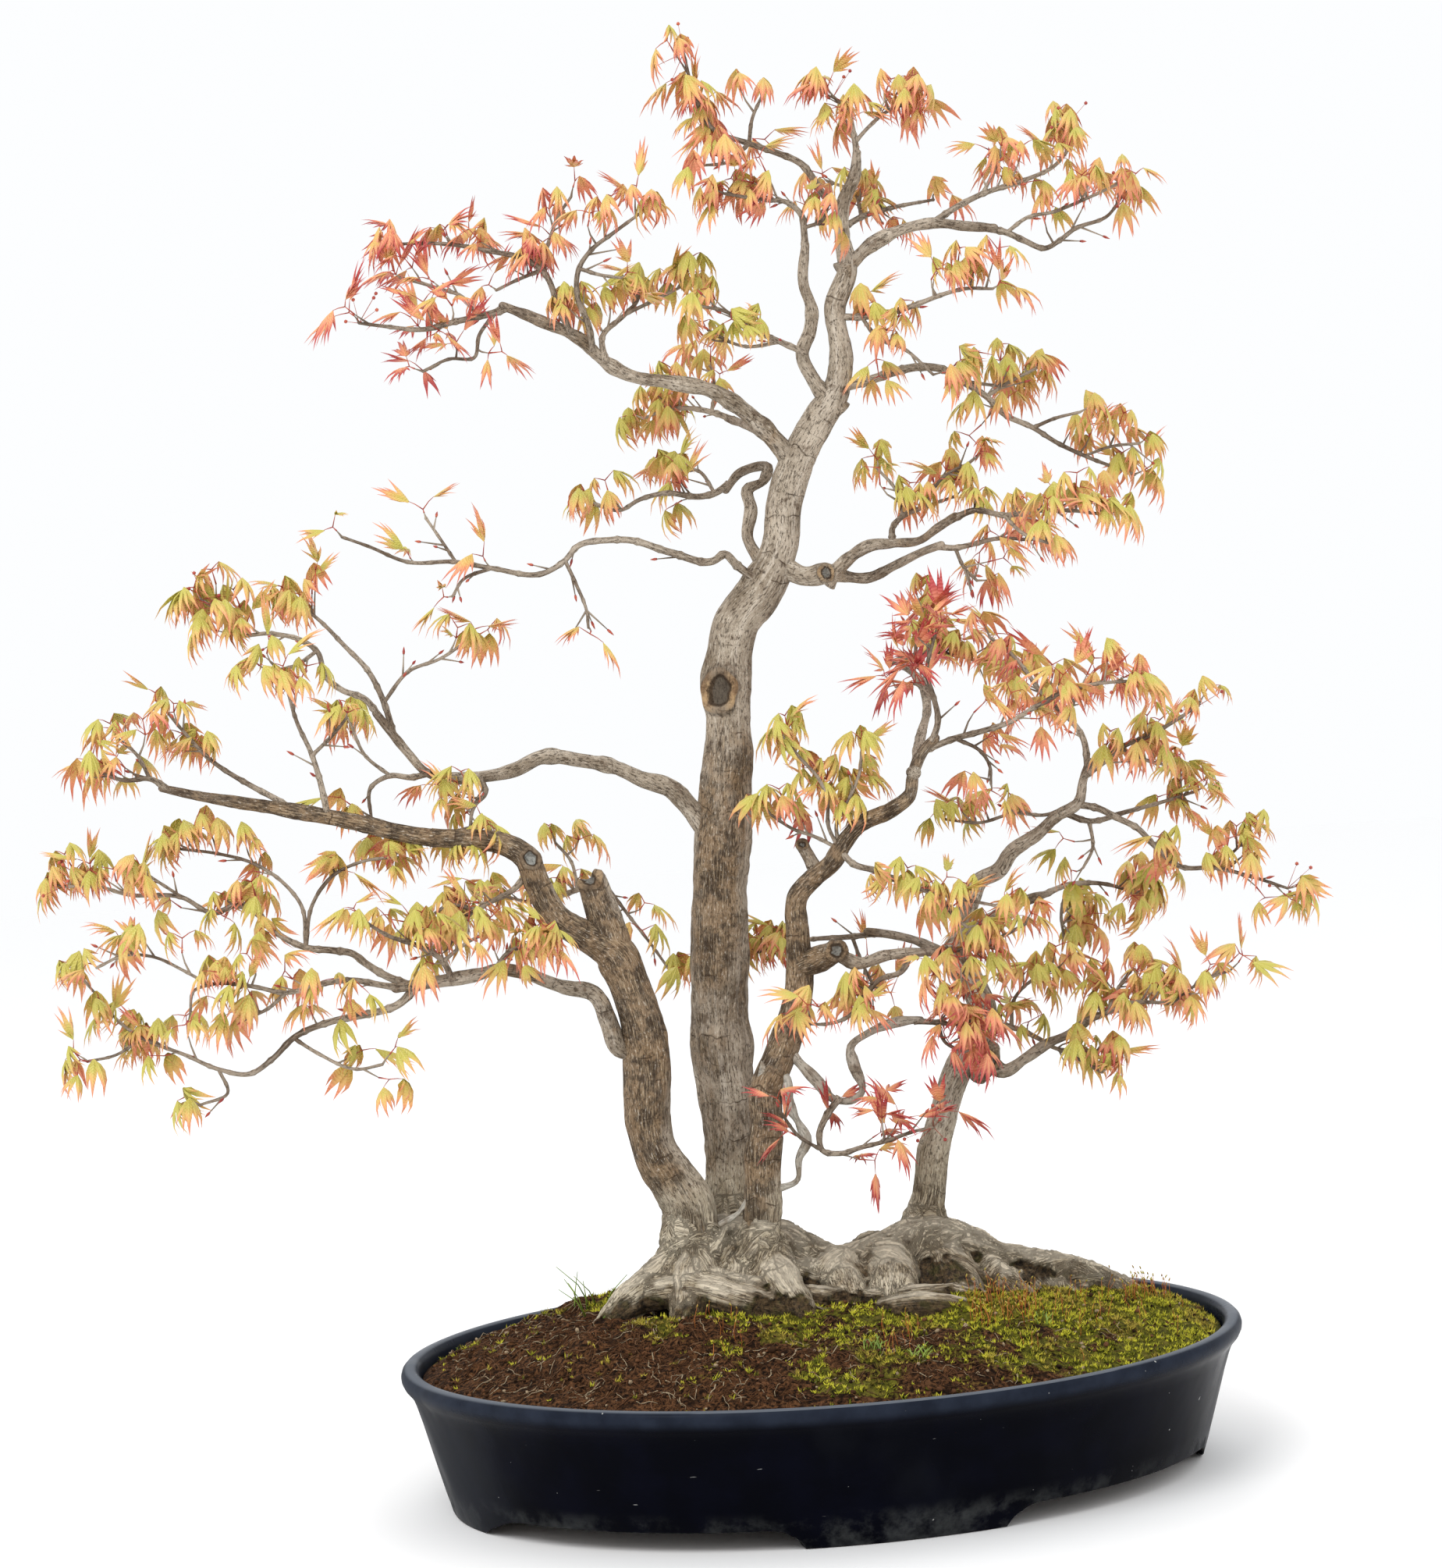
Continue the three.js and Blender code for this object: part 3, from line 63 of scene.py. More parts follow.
# The front view. The tree was measured on a true-size front view whose sheet starts at its top left corner.
# A point on it reads (across, down) in millimetres, and its depth runs from the pot's middle to the back.
MM = 0.001
SHEET_WIDTH, SHEET_HEIGHT = 924, 1004.5
EYE_DISTANCE, EYE_HEIGHT, EYE_SIDE = 2500, 560, -46
SENSOR_HEIGHT = 36
EYE_TILT, SHEET_ROLL, POT_TURN = math.radians(2.48), math.radians(3.2), math.radians(13)
pot_low, pot_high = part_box("pot")
POT_MIDDLE = Vector(((pot_low.x + pot_high.x) / 2, (pot_low.y + pot_high.y) / 2, 0))
FRONT_TO_POT = Matrix.Rotation(-POT_TURN, 3, "Z")
cos_roll, sin_roll = math.cos(SHEET_ROLL), math.sin(SHEET_ROLL)
cos_tilt, sin_tilt = math.cos(EYE_TILT), math.sin(EYE_TILT)


def place(across, down, depth):
    # The place in the frame that the front view shows at a point of its sheet, at a depth.
    a, d = across - SHEET_WIDTH / 2, down - SHEET_HEIGHT / 2
    side = a * cos_roll - d * sin_roll
    up = -(a * sin_roll + d * cos_roll)
    forward = EYE_DISTANCE * cos_tilt + up * sin_tilt
    rise = up * cos_tilt - EYE_DISTANCE * sin_tilt
    reach = (EYE_DISTANCE + depth) / forward
    point = Vector((EYE_SIDE + side * reach, depth, EYE_HEIGHT + rise * reach))
    return FRONT_TO_POT @ point * MM + POT_MIDDLE


camera_axes = Matrix((
    (cos_roll, sin_roll, 0),
    (-sin_roll * sin_tilt, cos_roll * sin_tilt, -cos_tilt),
    (-sin_roll * cos_tilt, cos_roll * cos_tilt, sin_tilt),
))
eye = FRONT_TO_POT @ Vector((EYE_SIDE, -EYE_DISTANCE, EYE_HEIGHT)) * MM + POT_MIDDLE
camera = bpy.data.objects.new("camera", bpy.data.cameras.new("camera"))
bpy.context.scene.collection.objects.link(camera)
camera.matrix_world = Matrix.Translation(eye) @ (FRONT_TO_POT @ camera_axes).to_4x4()
camera.data.sensor_fit = "VERTICAL"
camera.data.sensor_height = SENSOR_HEIGHT
camera.data.lens = SENSOR_HEIGHT * EYE_DISTANCE / SHEET_HEIGHT
camera.data.clip_end = 20
bpy.context.scene.camera = camera

# The pot: stoneware in a dark navy glaze, pressed as one oval with a soft round lip, a wall that narrows to
# the base, and cloud-cut gaps between its feet. Two drain holes go through its floor.
POT_HEIGHT = 93
BASE_OVALNESS, RIM_OVALNESS = 0.765, 0.84
POT_SIDES = 192
POT_PROFILE = [
    (226, 15), (226.4, 8), (227, 2), (228.6, 0.3), (230, 0), (243, 0), (244.6, 0.4), (245.6, 2), (247, 7),
    (249, 13.5), (253, 28), (257.3, 44), (261.3, 59), (264.6, 70), (266.6, 75.5), (269, 79), (271.6, 82),
    (273, 85), (273.2, 87.6), (272.4, 90.2), (270.6, 92), (268, 92.9), (265.2, 92.8), (263, 91.6),
    (261.6, 89.4), (261, 86), (260.6, 80), (252, 62), (240, 42), (230, 28), (226, 25.6), (222, 25),
]
CENTRE_FOOT_HALF, END_FOOT_START, FOOT_HEIGHT = 62, 236, 13.5
DRAIN_RADIUS, DRAIN_OFFSET = 14, 110


def oval(height):
    return BASE_OVALNESS + (RIM_OVALNESS - BASE_OVALNESS) * height / POT_HEIGHT


def choose(piece):
    bpy.ops.object.select_all(action="DESELECT")
    piece.select_set(True)
    bpy.context.view_layer.objects.active = piece


def modify(piece, kind, **settings):
    # Gives a piece a modifier with these settings and applies it.
    choose(piece)
    change = piece.modifiers.new(kind, kind)
    for key, value in settings.items():
        setattr(change, key, value)
    bpy.ops.object.modifier_apply(modifier=change.name)


def cut_away(piece, cutter):
    modify(piece, "BOOLEAN", operation="DIFFERENCE", solver="EXACT", object=cutter)
    bpy.data.objects.remove(cutter, do_unlink=True)


def turn_outwards():
    # Turns all faces of the mesh that is being edited outwards, and ends its editing.
    bpy.ops.mesh.select_all(action="SELECT")
    bpy.ops.mesh.normals_make_consistent(inside=False)
    bpy.ops.object.mode_set(mode="OBJECT")


bpy.ops.object.select_all(action="DESELECT")
start_radius, start_height = POT_PROFILE[0]
bpy.ops.mesh.primitive_circle_add(
    vertices=POT_SIDES, radius=start_radius * MM, fill_type="NGON",
    location=POT_MIDDLE + Vector((0, 0, start_height * MM)),
)
pot = bpy.context.active_object
pot.name = "glazed_pot"
bpy.ops.object.mode_set(mode="EDIT")
bpy.ops.transform.resize(value=(1, oval(start_height), 1), center_override=pot.location)
for (radius, height), (wider, higher) in zip(POT_PROFILE, POT_PROFILE[1:]):
    lift = (0, 0, (higher - height) * MM)
    bpy.ops.mesh.extrude_region_move(TRANSFORM_OT_translate={"value": lift})
    bpy.ops.transform.resize(
        value=(wider / radius, wider * oval(higher) / (radius * oval(height)), 1),
        center_override=(POT_MIDDLE.x, POT_MIDDLE.y, higher * MM),
    )
turn_outwards()
choose(pot)
bpy.ops.object.transform_apply(location=True, rotation=True, scale=True)


def bow(start, control, end, steps=7):
    # Points of a quadratic curve after its start.
    shares = [i / steps for i in range(1, steps + 1)]
    return [
        tuple((1 - t) ** 2 * a + 2 * t * (1 - t) * b + t * t * c for a, b, c in zip(start, control, end))
        for t in shares
    ]


near, far = CENTRE_FOOT_HALF, END_FOOT_START
gap_outline = [(near, -2)]
gap_outline += bow((near, -2), (near + 2, 6), (near + 10, FOOT_HEIGHT - 4))
gap_outline += bow((near + 10, FOOT_HEIGHT - 4), (near + 15, FOOT_HEIGHT), (near + 24, FOOT_HEIGHT))
gap_outline += [(far - 20, FOOT_HEIGHT)]
gap_outline += bow((far - 20, FOOT_HEIGHT), (far - 10, FOOT_HEIGHT), (far - 7, FOOT_HEIGHT - 5))
gap_outline += bow((far - 7, FOOT_HEIGHT - 5), (far - 2, 5), (far, -2))
count = len(gap_outline)
for side in (-1, 1):
    ends = [(side * x * MM, y, z * MM) for y in (-0.3, 0.3) for x, z in gap_outline]
    sides = [(i, (i + 1) % count, (i + 1) % count + count, i + count) for i in range(count)]
    lids = [tuple(range(count))[::-1], tuple(range(count, 2 * count))]
    gap_mesh = bpy.data.meshes.new("foot_gap")
    gap_mesh.from_pydata(ends, [], sides + lids)
    foot_gap = bpy.data.objects.new("foot_gap", gap_mesh)
    bpy.context.scene.collection.objects.link(foot_gap)
    foot_gap.location = POT_MIDDLE
    choose(foot_gap)
    bpy.ops.object.mode_set(mode="EDIT")
    turn_outwards()
    cut_away(pot, foot_gap)
    bpy.ops.mesh.primitive_cylinder_add(
        vertices=40, radius=DRAIN_RADIUS * MM, depth=0.04,
        location=POT_MIDDLE + Vector((side * DRAIN_OFFSET * MM, 0, 0.02)),
    )
    cut_away(pot, bpy.context.active_object)

modify(pot, "BEVEL", width=0.9 * MM, segments=2, limit_method="ANGLE", angle_limit=math.radians(50),
       use_clamp_overlap=True)
bpy.ops.object.shade_smooth_by_angle(angle=math.radians(32))


def add(kind, inputs=None, **settings):
    # Adds a node, with its settings, and joins or sets its inputs.
    made = tree.nodes.new(kind)
    for key, value in settings.items():
        setattr(made, key, value)
    for key, value in (inputs or {}).items():
        if isinstance(value, bpy.types.NodeSocket):
            tree.links.new(value, made.inputs[key])
        else:
            made.inputs[key].default_value = value
    return made


def begin_material(name, roughness, shine=0.5):
    # A new material with its one shader. The helpers here all work on the material that was begun last.
    global tree, shader
    made = bpy.data.materials.new(name)
    made.use_nodes = True
    tree = made.node_tree
    shader = tree.nodes["Principled BSDF"]
    shader.inputs["Roughness"].default_value = roughness
    shader.inputs["Specular IOR Level"].default_value = shine
    return made


def grain(vector, scale, detail=4, roughness=0.55, distortion=0.0):
    made = add("ShaderNodeTexNoise", {
        "Vector": vector, "Scale": scale, "Detail": detail, "Roughness": roughness, "Distortion": distortion,
    })
    return made.outputs["Fac"]


def maths(operation, first, second=0.0):
    return add("ShaderNodeMath", {0: first, 1: second}, operation=operation).outputs[0]


def times(first, second):
    return maths("MULTIPLY", first, second)


def plus(first, second):
    return maths("ADD", first, second)


def minus(first, second):
    return maths("SUBTRACT", first, second)


def spread(value, low, high, to_low=0.0, to_high=1.0):
    # Maps a range smoothly onto another, and holds it at both ends.
    made = add("ShaderNodeMapRange", {
        "Value": value, "From Min": low, "From Max": high, "To Min": to_low, "To Max": to_high,
    }, interpolation_type="SMOOTHSTEP", clamp=True)
    return made.outputs["Result"]


def blend_colour(share, first, second):
    made = add("ShaderNodeMix", {0: share}, data_type="RGBA")
    for socket, value in ((made.inputs[6], first), (made.inputs[7], second)):
        if isinstance(value, bpy.types.NodeSocket):
            tree.links.new(value, socket)
        else:
            socket.default_value = (*value, 1)
    return made.outputs[2]


def between(value, low, high, first, second):
    # Goes from one colour to another while a value runs from low to high.
    return blend_colour(spread(value, low, high), first, second)


def layered(colour, *layers):
    # Lays shades over a colour in turn. Each comes in while its value runs from low to high, up to its share.
    for value, low, high, share, shade in layers:
        colour = blend_colour(spread(value, low, high, 0, share), colour, shade)
    return colour


def stretched(vector, scale):
    return add("ShaderNodeMapping", {"Vector": vector, "Scale": scale}).outputs["Vector"]


def object_place():
    return add("ShaderNodeTexCoord").outputs["Object"]


def point_value(label, output="Fac"):
    return add("ShaderNodeAttribute", attribute_name=label).outputs[output]


def paint(value, socket="Base Color"):
    tree.links.new(value, shader.inputs[socket])


def coat(piece, material):
    piece.data.materials.clear()
    piece.data.materials.append(material)


def raise_bumps(height, depth, strength=1.0):
    bump = add("ShaderNodeBump", {"Height": height, "Strength": strength, "Distance": depth})
    paint(bump.outputs["Normal"], "Normal")


def plain_skin(name, roughness, scale, detail, first, second, bumps=900, depth=0.0001):
    # A thin young skin that wanders between two colours.
    made = begin_material(name, roughness)
    where = object_place()
    paint(between(grain(where, scale, detail), 0.35, 0.65, first, second))
    raise_bumps(grain(where, bumps, 2), depth, 0.3)
    return made


glaze = begin_material("navy_glaze", 0.2, 0.024)
where = object_place()
parts = add("ShaderNodeSeparateXYZ", {0: where})
height = parts.outputs["Z"]
facing = add("ShaderNodeNewGeometry").outputs["Normal"]
facing_up = add("ShaderNodeSeparateXYZ", {0: facing}).outputs["Z"]
# A deep navy with haze, then a worn lip with painted sheen and a painted highlight on its top edge,
# lime above the feet, haze and a painted reflection at the ends, scratches and specks.
depth_mottle = grain(where, 30, 5)
colour = between(depth_mottle, 0.35, 0.7, (0.001, 0.0012, 0.003), (0.0016, 0.0019, 0.0055))
haze = grain(stretched(where, (1, 1, 0.5)), 13, 4, 0.5)
colour = layered(colour, (haze, 0.6, 0.82, 0.06, (0.05, 0.056, 0.07)))
lip_band = spread(height, 0.08, 0.0868)
lip_mottle = grain(where, 60, 5)
# Painted sheen: the worn lip is also lighter, standing in for its reflection.
lip_wear_and_sheen = times(lip_band, spread(lip_mottle, 0.25, 0.75, 0.55, 1.0))
colour = blend_colour(lip_wear_and_sheen, colour, (0.018, 0.023, 0.036))
# Painted highlight: a pale line along the top edge of the lip.
painted_lip_highlight = times(spread(facing_up, 0.72, 0.98), lip_band)
colour = blend_colour(times(painted_lip_highlight, 0.6), colour, (0.17, 0.19, 0.22))
lime_noise = grain(where, 45, 6, 0.65)
lime_height = spread(height, 0.027, 0.0125)
lime = times(lime_height, spread(lime_noise, 0.42, 0.68))
colour = blend_colour(times(lime, 0.16), colour, (0.22, 0.23, 0.22))
end_share = spread(maths("ABSOLUTE", minus(parts.outputs["X"], POT_MIDDLE.x)), 0.2, 0.262)
# Painted reflection: the ends of the pot are lighter where the haze lies, and duller there as well.
end_haze_and_reflection = times(end_share, spread(haze, 0.35, 0.65))
colour = blend_colour(times(end_haze_and_reflection, 0.1), colour, (0.14, 0.155, 0.18))
scratch_noise = grain(stretched(where, (1, 1, 7)), 60, 2, 0.5, 0.6)
scratches = spread(scratch_noise, 0.775, 0.8)
speck_noise = grain(where, 190, 2)
specks = spread(speck_noise, 0.77, 0.79)
marks = maths("MAXIMUM", scratches, specks)
colour = blend_colour(times(marks, 0.7), colour, (0.5, 0.5, 0.48))
# The clay is bare underneath.
bare_clay = spread(facing_up, -0.75, -0.92)
colour = blend_colour(bare_clay, colour, (0.085, 0.06, 0.042))
paint(colour)
dull = maths("MAXIMUM", times(lime, 0.55), times(lip_wear_and_sheen, 0.15))
for share, dullness in ((bare_clay, 0.75), (end_haze_and_reflection, 0.3)):
    dull = maths("MAXIMUM", dull, times(share, dullness))
paint(plus(dull, spread(haze, 0.3, 0.8, 0.14, 0.3)), "Roughness")
ripple = grain(where, 26, 2)
pitted = plus(times(ripple, 3.0), times(lime, 0.5))
raise_bumps(pitted, 0.0004, 0.35)
coat(pot, glaze)
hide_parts("pot")
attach(pot, "root")

# The drain screens: black moulded plastic mesh. Each lies loose over a drain hole, held down by the soil that
# it keeps in.
mesh_plastic = begin_material("drain_screen_plastic", 0.55)
where = object_place()
dust = spread(grain(where, 160, 5), 0.45, 0.75, 0, 0.5)
paint(blend_colour(dust, (0.012, 0.012, 0.012), (0.05, 0.038, 0.025)))
paint(spread(dust, 0, 0.5, 0.45, 0.8), "Roughness")
raise_bumps(grain(where, 900, 3), 0.0002, 0.4)
for name in ("drain_screen_left", "drain_screen_right"):
    coat(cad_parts[name], mesh_plastic)

# The soil: fibrous peat that fills the pot down to its floor. It is heaped in a low mound, steep towards the
# lip and lumpy on top.
SOIL_EDGE, SOIL_CROWN, SOIL_SHOULDER = 84, 30, 4.5
SOIL_RADIUS, SOIL_FLOOR_RADIUS, SOIL_FLOOR = 259.6, 225, 27.4
SOIL_RINGS, SOIL_SIDES = 84, 230
# Low banks along the pot: height, place across it, width, half length, place along it.
BANKS = [(8, -68, 25, 170, -30), (6, 88, 24, 170, 0), (6, 62, 17, 130, 0)]


def value_noise(points, seed=0):
    # Smooth noise from -1 to 1 at many points at once.
    points = np.asarray(points, float)
    cell = np.floor(points).astype(np.int64)
    part = points - cell
    part = part * part * (3 - 2 * part)
    total = np.zeros(len(points))
    for corner in range(8):
        step = np.array([(corner >> axis) & 1 for axis in range(3)])
        weight = np.prod(np.where(step, part, 1 - part), axis=1)
        a, b, c = (cell + step).T
        mixed = (a * 374761393 + b * 668265263 + c * 1274126177 + seed * 974634777) & 0xFFFFFFFF
        mixed = ((mixed ^ (mixed >> 13)) * 1274126177) & 0xFFFFFFFF
        mixed = (mixed ^ (mixed >> 16)) & 0xFFFF
        total += weight * (mixed / 32767.5 - 1)
    return total


def flat_noise(x, y, size, seed):
    return value_noise(np.stack([x / size, y / size, np.zeros_like(x)], axis=1), seed)


def soil_height(x, y):
    # Height of the soil in millimetres at places in the pot, which are counted from its middle.
    share = np.sqrt((x / SOIL_RADIUS) ** 2 + (y / (SOIL_RADIUS * oval(SOIL_EDGE))) ** 2)
    crown = SOIL_EDGE + SOIL_CROWN * (1 - np.minimum(share, 1) ** SOIL_SHOULDER)
    swell = 1.6 * np.sin(x / 31 + 1) * np.cos(y / 27) + 0.9 * np.sin(x / 13 + y / 17)
    lumps = 2.4 * flat_noise(x, y, 13, 1) + 1.9 * flat_noise(x, y, 5.5, 2) + 0.9 * flat_noise(x, y, 2.6, 3)
    heaped = 0
    for high, across, wide, half_long, along in BANKS:
        ends = np.clip((half_long - np.abs(x - along)) / 40, 0, 1)
        heaped = heaped + high * np.exp(-((y - across) / wide) ** 2) * ends
    heaped = heaped + 8 * np.exp(-((x + 140) / 46) ** 2 - ((y + 26) / 42) ** 2)
    return crown + heaped + (swell + lumps) * np.clip((1 - share) * 9, 0, 1)


def moss_share(x, y):
    # Where moss has covered the soil: above 0.5 it is green. It grows on the right, at the back and along the
    # roots, and it thins out towards the left and the front.
    spread_out = 0.47 + x / 300 + np.clip(y / 160, 0, 0.3) + 0.36 * np.exp(-((y + 82) / 30) ** 2)
    spread_out = spread_out - 0.26 * np.clip((-y - 105) / 70, 0, 1)
    patchy = 0.34 * flat_noise(x, y, 42, 4) + 0.34 * flat_noise(x, y, 15, 5) + 0.22 * flat_noise(x, y, 6, 6)
    return spread_out + patchy


def to_metres(x, y, z):
    return np.stack([x * MM + POT_MIDDLE.x, y * MM + POT_MIDDLE.y, z * MM], axis=1)


def mark_points(mesh, **marks):
    # Stores a named value, or a named vector, for each point of a mesh.
    for label, values in marks.items():
        values = np.asarray(values, np.float32)
        kind, key = ("FLOAT_VECTOR", "vector") if values.ndim == 2 else ("FLOAT", "value")
        mesh.attributes.new(label, kind, "POINT").data.foreach_set(key, values.ravel())


def mesh_piece(name, points, faces, materials, marks, face_slots=None):
    # Makes an object at the origin from points and faces, with named values on its points.
    mesh = bpy.data.meshes.new(name)
    mesh.from_pydata(np.asarray(points).tolist(), [], faces)
    mark_points(mesh, **marks)
    for material in materials:
        mesh.materials.append(material)
    if face_slots is not None:
        mesh.polygons.foreach_set("material_index", np.asarray(face_slots, np.int32))
    mesh.polygons.foreach_set("use_smooth", np.ones(len(mesh.polygons), bool))
    mesh.update()
    piece = bpy.data.objects.new(name, mesh)
    bpy.context.scene.collection.objects.link(piece)
    return piece


shares = np.linspace(0, 1, SOIL_RINGS + 1)[1:]
turns = np.arange(SOIL_SIDES) * 2 * math.pi / SOIL_SIDES
ring_x = (shares[:, None] * np.cos(turns) * SOIL_RADIUS).ravel()
ring_y = (shares[:, None] * np.sin(turns) * SOIL_RADIUS * oval(SOIL_EDGE)).ravel()
top = to_metres(ring_x, ring_y, soil_height(ring_x, ring_y))
floor_x, floor_y = np.cos(turns) * SOIL_FLOOR_RADIUS, np.sin(turns) * SOIL_FLOOR_RADIUS * oval(SOIL_FLOOR)
floor = to_metres(floor_x, floor_y, np.full(SOIL_SIDES, SOIL_FLOOR))
middle = to_metres(np.zeros(2), np.zeros(2), np.array([soil_height(np.zeros(1), np.zeros(1))[0], SOIL_FLOOR]))
points = np.concatenate([top, floor, middle])
faces = []
for ring in range(SOIL_RINGS):
    for k in range(SOIL_SIDES):
        a, b = ring * SOIL_SIDES + k, ring * SOIL_SIDES + (k + 1) % SOIL_SIDES
        faces.append((a, a + SOIL_SIDES, b + SOIL_SIDES, b))
for k in range(SOIL_SIDES):
    after = (k + 1) % SOIL_SIDES
    faces.append((len(points) - 2, k, after))
    faces.append((len(points) - 1, SOIL_RINGS * SOIL_SIDES + after, SOIL_RINGS * SOIL_SIDES + k))
green = np.concatenate([moss_share(ring_x, ring_y), np.zeros(SOIL_SIDES), np.array([0.5, 0])])

peat = begin_material("peat_soil", 0.95, 0.1)
where = object_place()
moss_cover = point_value("moss_cover")
crumbs = grain(where, 380, 6, 0.7)
clods = grain(where, 90, 5, 0.6)
brown = between(crumbs, 0.4, 0.64, (0.009, 0.004, 0.002), (0.19, 0.085, 0.035))
brown = blend_colour(spread(clods, 0.36, 0.5, 0.75, 0), brown, (0.012, 0.0055, 0.003))
brown = layered(brown, (clods, 0.55, 0.75, 0.6, (0.16, 0.075, 0.034)))
olive = layered(
    between(crumbs, 0.35, 0.7, (0.04, 0.04, 0.006), (0.2, 0.19, 0.02)),
    (clods, 0.5, 0.72, 0.7, (0.22, 0.17, 0.04)),
)
ragged = plus(moss_cover, times(minus(crumbs, 0.5), 0.8))
colour = between(ragged, 0.4, 0.62, brown, olive)
pale_bits = spread(grain(where, 520, 2), 0.74, 0.77, 0, 0.7)
colour = blend_colour(pale_bits, colour, (0.42, 0.37, 0.29))
paint(colour)
raise_bumps(plus(crumbs, times(clods, 2)), 0.003, 1.0)
soil = mesh_piece("soil_mound", points, faces, [peat], {"moss_cover": green})
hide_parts("soil")
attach(soil, "root")

# The wood: roots, trunks and branches that grew as one piece, with its foot sunk in the soil. Each limb is
# swept along stations of the front view, whose rows read (across, down, depth, radius) in millimetres.
MAIN_TRUNK = [
    (465, 800, 30, 19), (466, 776, 30, 16), (467, 745, 30, 16), (466, 705, 28, 18), (462, 665, 26, 19.5),
    (461, 625, 24, 19), (461, 585, 21, 18.5), (462, 545, 18, 18.2), (465, 505, 16, 16),
    (467, 470, 14, 15), (466, 430, 13, 15), (471, 400, 12, 14.5), (489, 376, 10, 13.5), (500, 350, 8, 12),
    (503, 320, 6, 11.5), (511, 295, 5, 11.2), (523, 272, 4, 11), (536, 250, 2, 9), (539, 230, 0, 7.4),
    (535, 196, -2, 6.6), (543, 172, -2, 6), (540, 153, -1, 5.2), (540, 132, 0, 4.4), (548, 111, 0, 3.4),
    (549, 98, 0, 2.6),
]
LEFT_TRUNK = [
    (445, 808, -28, 20), (442, 790, -30, 17.5), (440, 772, -30, 17.5), (432, 757, -32, 16),
    (420, 738, -36, 15), (415, 716, -40, 15), (415, 685, -44, 15), (411, 655, -46, 14),
    (404, 632, -48, 13.6), (393, 609, -50, 12.8), (376, 600, -52, 10.5), (357, 588, -54, 9),
    (345, 568, -56, 8.4), (337, 549, -56, 7.6), (324, 541, -56, 6.8), (308, 538, -56, 6.4),
    (280, 537, -58, 6), (254, 533, -60, 5.6), (229, 527, -62, 5.2), (191, 520, -64, 4.8),
    (152, 514, -66, 3.8), (127, 510, -66, 3.1), (104, 505, -66, 2.6),
]
SLIM_TRUNK = [
    (488, 806, -32, 18), (488, 790, -35, 13), (489, 770, -35, 12), (489, 745, -34, 11.4),
    (491, 720, -34, 10.5), (490, 698, -32, 10), (498, 680, -30, 9.8), (507, 655, -28, 9.8),
    (512, 628, -24, 9.4), (511, 596, -24, 7.8), (511, 575, -26, 6.6), (522, 562, -30, 6.2),
    (533, 553, -34, 6), (540, 541, -40, 5.7), (550, 529, -43, 5.4), (572, 518, -50, 4.9),
    (583, 509, -54, 4.3), (585, 496, -56, 3.8), (591, 482, -58, 3.5), (599, 473, -60, 3.2),
]
RIGHT_TRUNK = [
    (594, 802, 30, 22), (593, 782, 38, 14), (596, 760, 40, 11), (598, 738, 40, 10.2), (606, 710, 38, 9),
    (611, 692, 36, 9.2), (618, 678, 34, 9.4), (628, 667, 32, 9.2), (631, 652, 30, 9), (621, 627, 26, 9.2),
    (612, 613, 24, 9), (618, 597, 20, 7.6), (621, 578, 18, 6.6), (627, 565, 16, 6), (640, 558, 12, 5.5),
    (648, 546, 6, 4.8), (665, 534, 2, 4.2), (677, 523, 0, 3.8), (691, 514, -4, 3.4), (694, 500, -6, 3),
    (698, 488, -8, 2.6),
]
ROOT_BASE = [
    [(428, 820, -32, 16), (443, 808, -28, 24), (470, 805, 0, 26), (500, 808, 6, 25), (535, 819, 8, 21),
     (565, 813, 12, 22), (594, 803, 24, 25), (640, 815, 30, 19), (690, 819, 35, 14), (722, 828, 38, 10)],
    [(418, 830, -34, 14), (450, 829, -28, 24), (500, 830, -14, 25), (545, 830, -8, 23), (590, 830, 2, 24),
     (630, 829, 12, 21), (672, 830, 24, 15), (706, 834, 32, 9)],
]
ROOTS = [
    [(438, 812, -34, 18), (420, 823, -44, 15), (403, 834, -52, 11), (384, 845, -56, 6)],
    [(446, 810, -30, 22), (443, 830, -58, 17), (439, 846, -76, 10), (433, 858, -88, 5)],
    [(470, 812, -20, 20), (474, 832, -52, 17), (474, 848, -72, 11), (479, 860, -88, 5)],
    [(492, 806, -30, 16), (500, 824, -54, 14), (512, 843, -72, 11), (522, 858, -86, 5)],
    [(535, 816, 0, 20), (540, 831, -32, 17), (546, 846, -56, 12), (549, 858, -74, 6)],
    [(570, 810, 8, 20), (572, 828, -30, 17), (574, 846, -60, 12), (579, 859, -78, 5)],
    [(548, 848, -52, 9), (572, 841, -64, 10), (600, 839, -62, 10), (622, 843, -56, 9), (642, 853, -54, 5)],
    [(600, 808, 20, 22), (613, 826, -14, 17), (623, 842, -38, 12), (640, 853, -56, 6)],
    [(624, 813, 24, 18), (646, 828, 0, 13), (663, 839, -20, 9), (684, 848, -34, 5)],
    [(690, 820, 34, 14), (716, 828, 38, 10), (740, 835, 42, 6), (758, 842, 44, 4)],
    [(452, 806, -10, 20), (438, 814, 28, 15), (424, 821, 56, 10), (408, 829, 80, 5)],
    [(490, 808, 20, 22), (492, 813, 60, 15), (490, 819, 92, 9), (488, 826, 114, 5)],
    [(560, 808, 25, 20), (566, 813, 64, 14), (575, 819, 96, 8), (582, 826, 116, 5)],
    [(640, 813, 34, 16), (655, 817, 68, 11), (672, 822, 96, 7), (686, 829, 114, 4)],
]
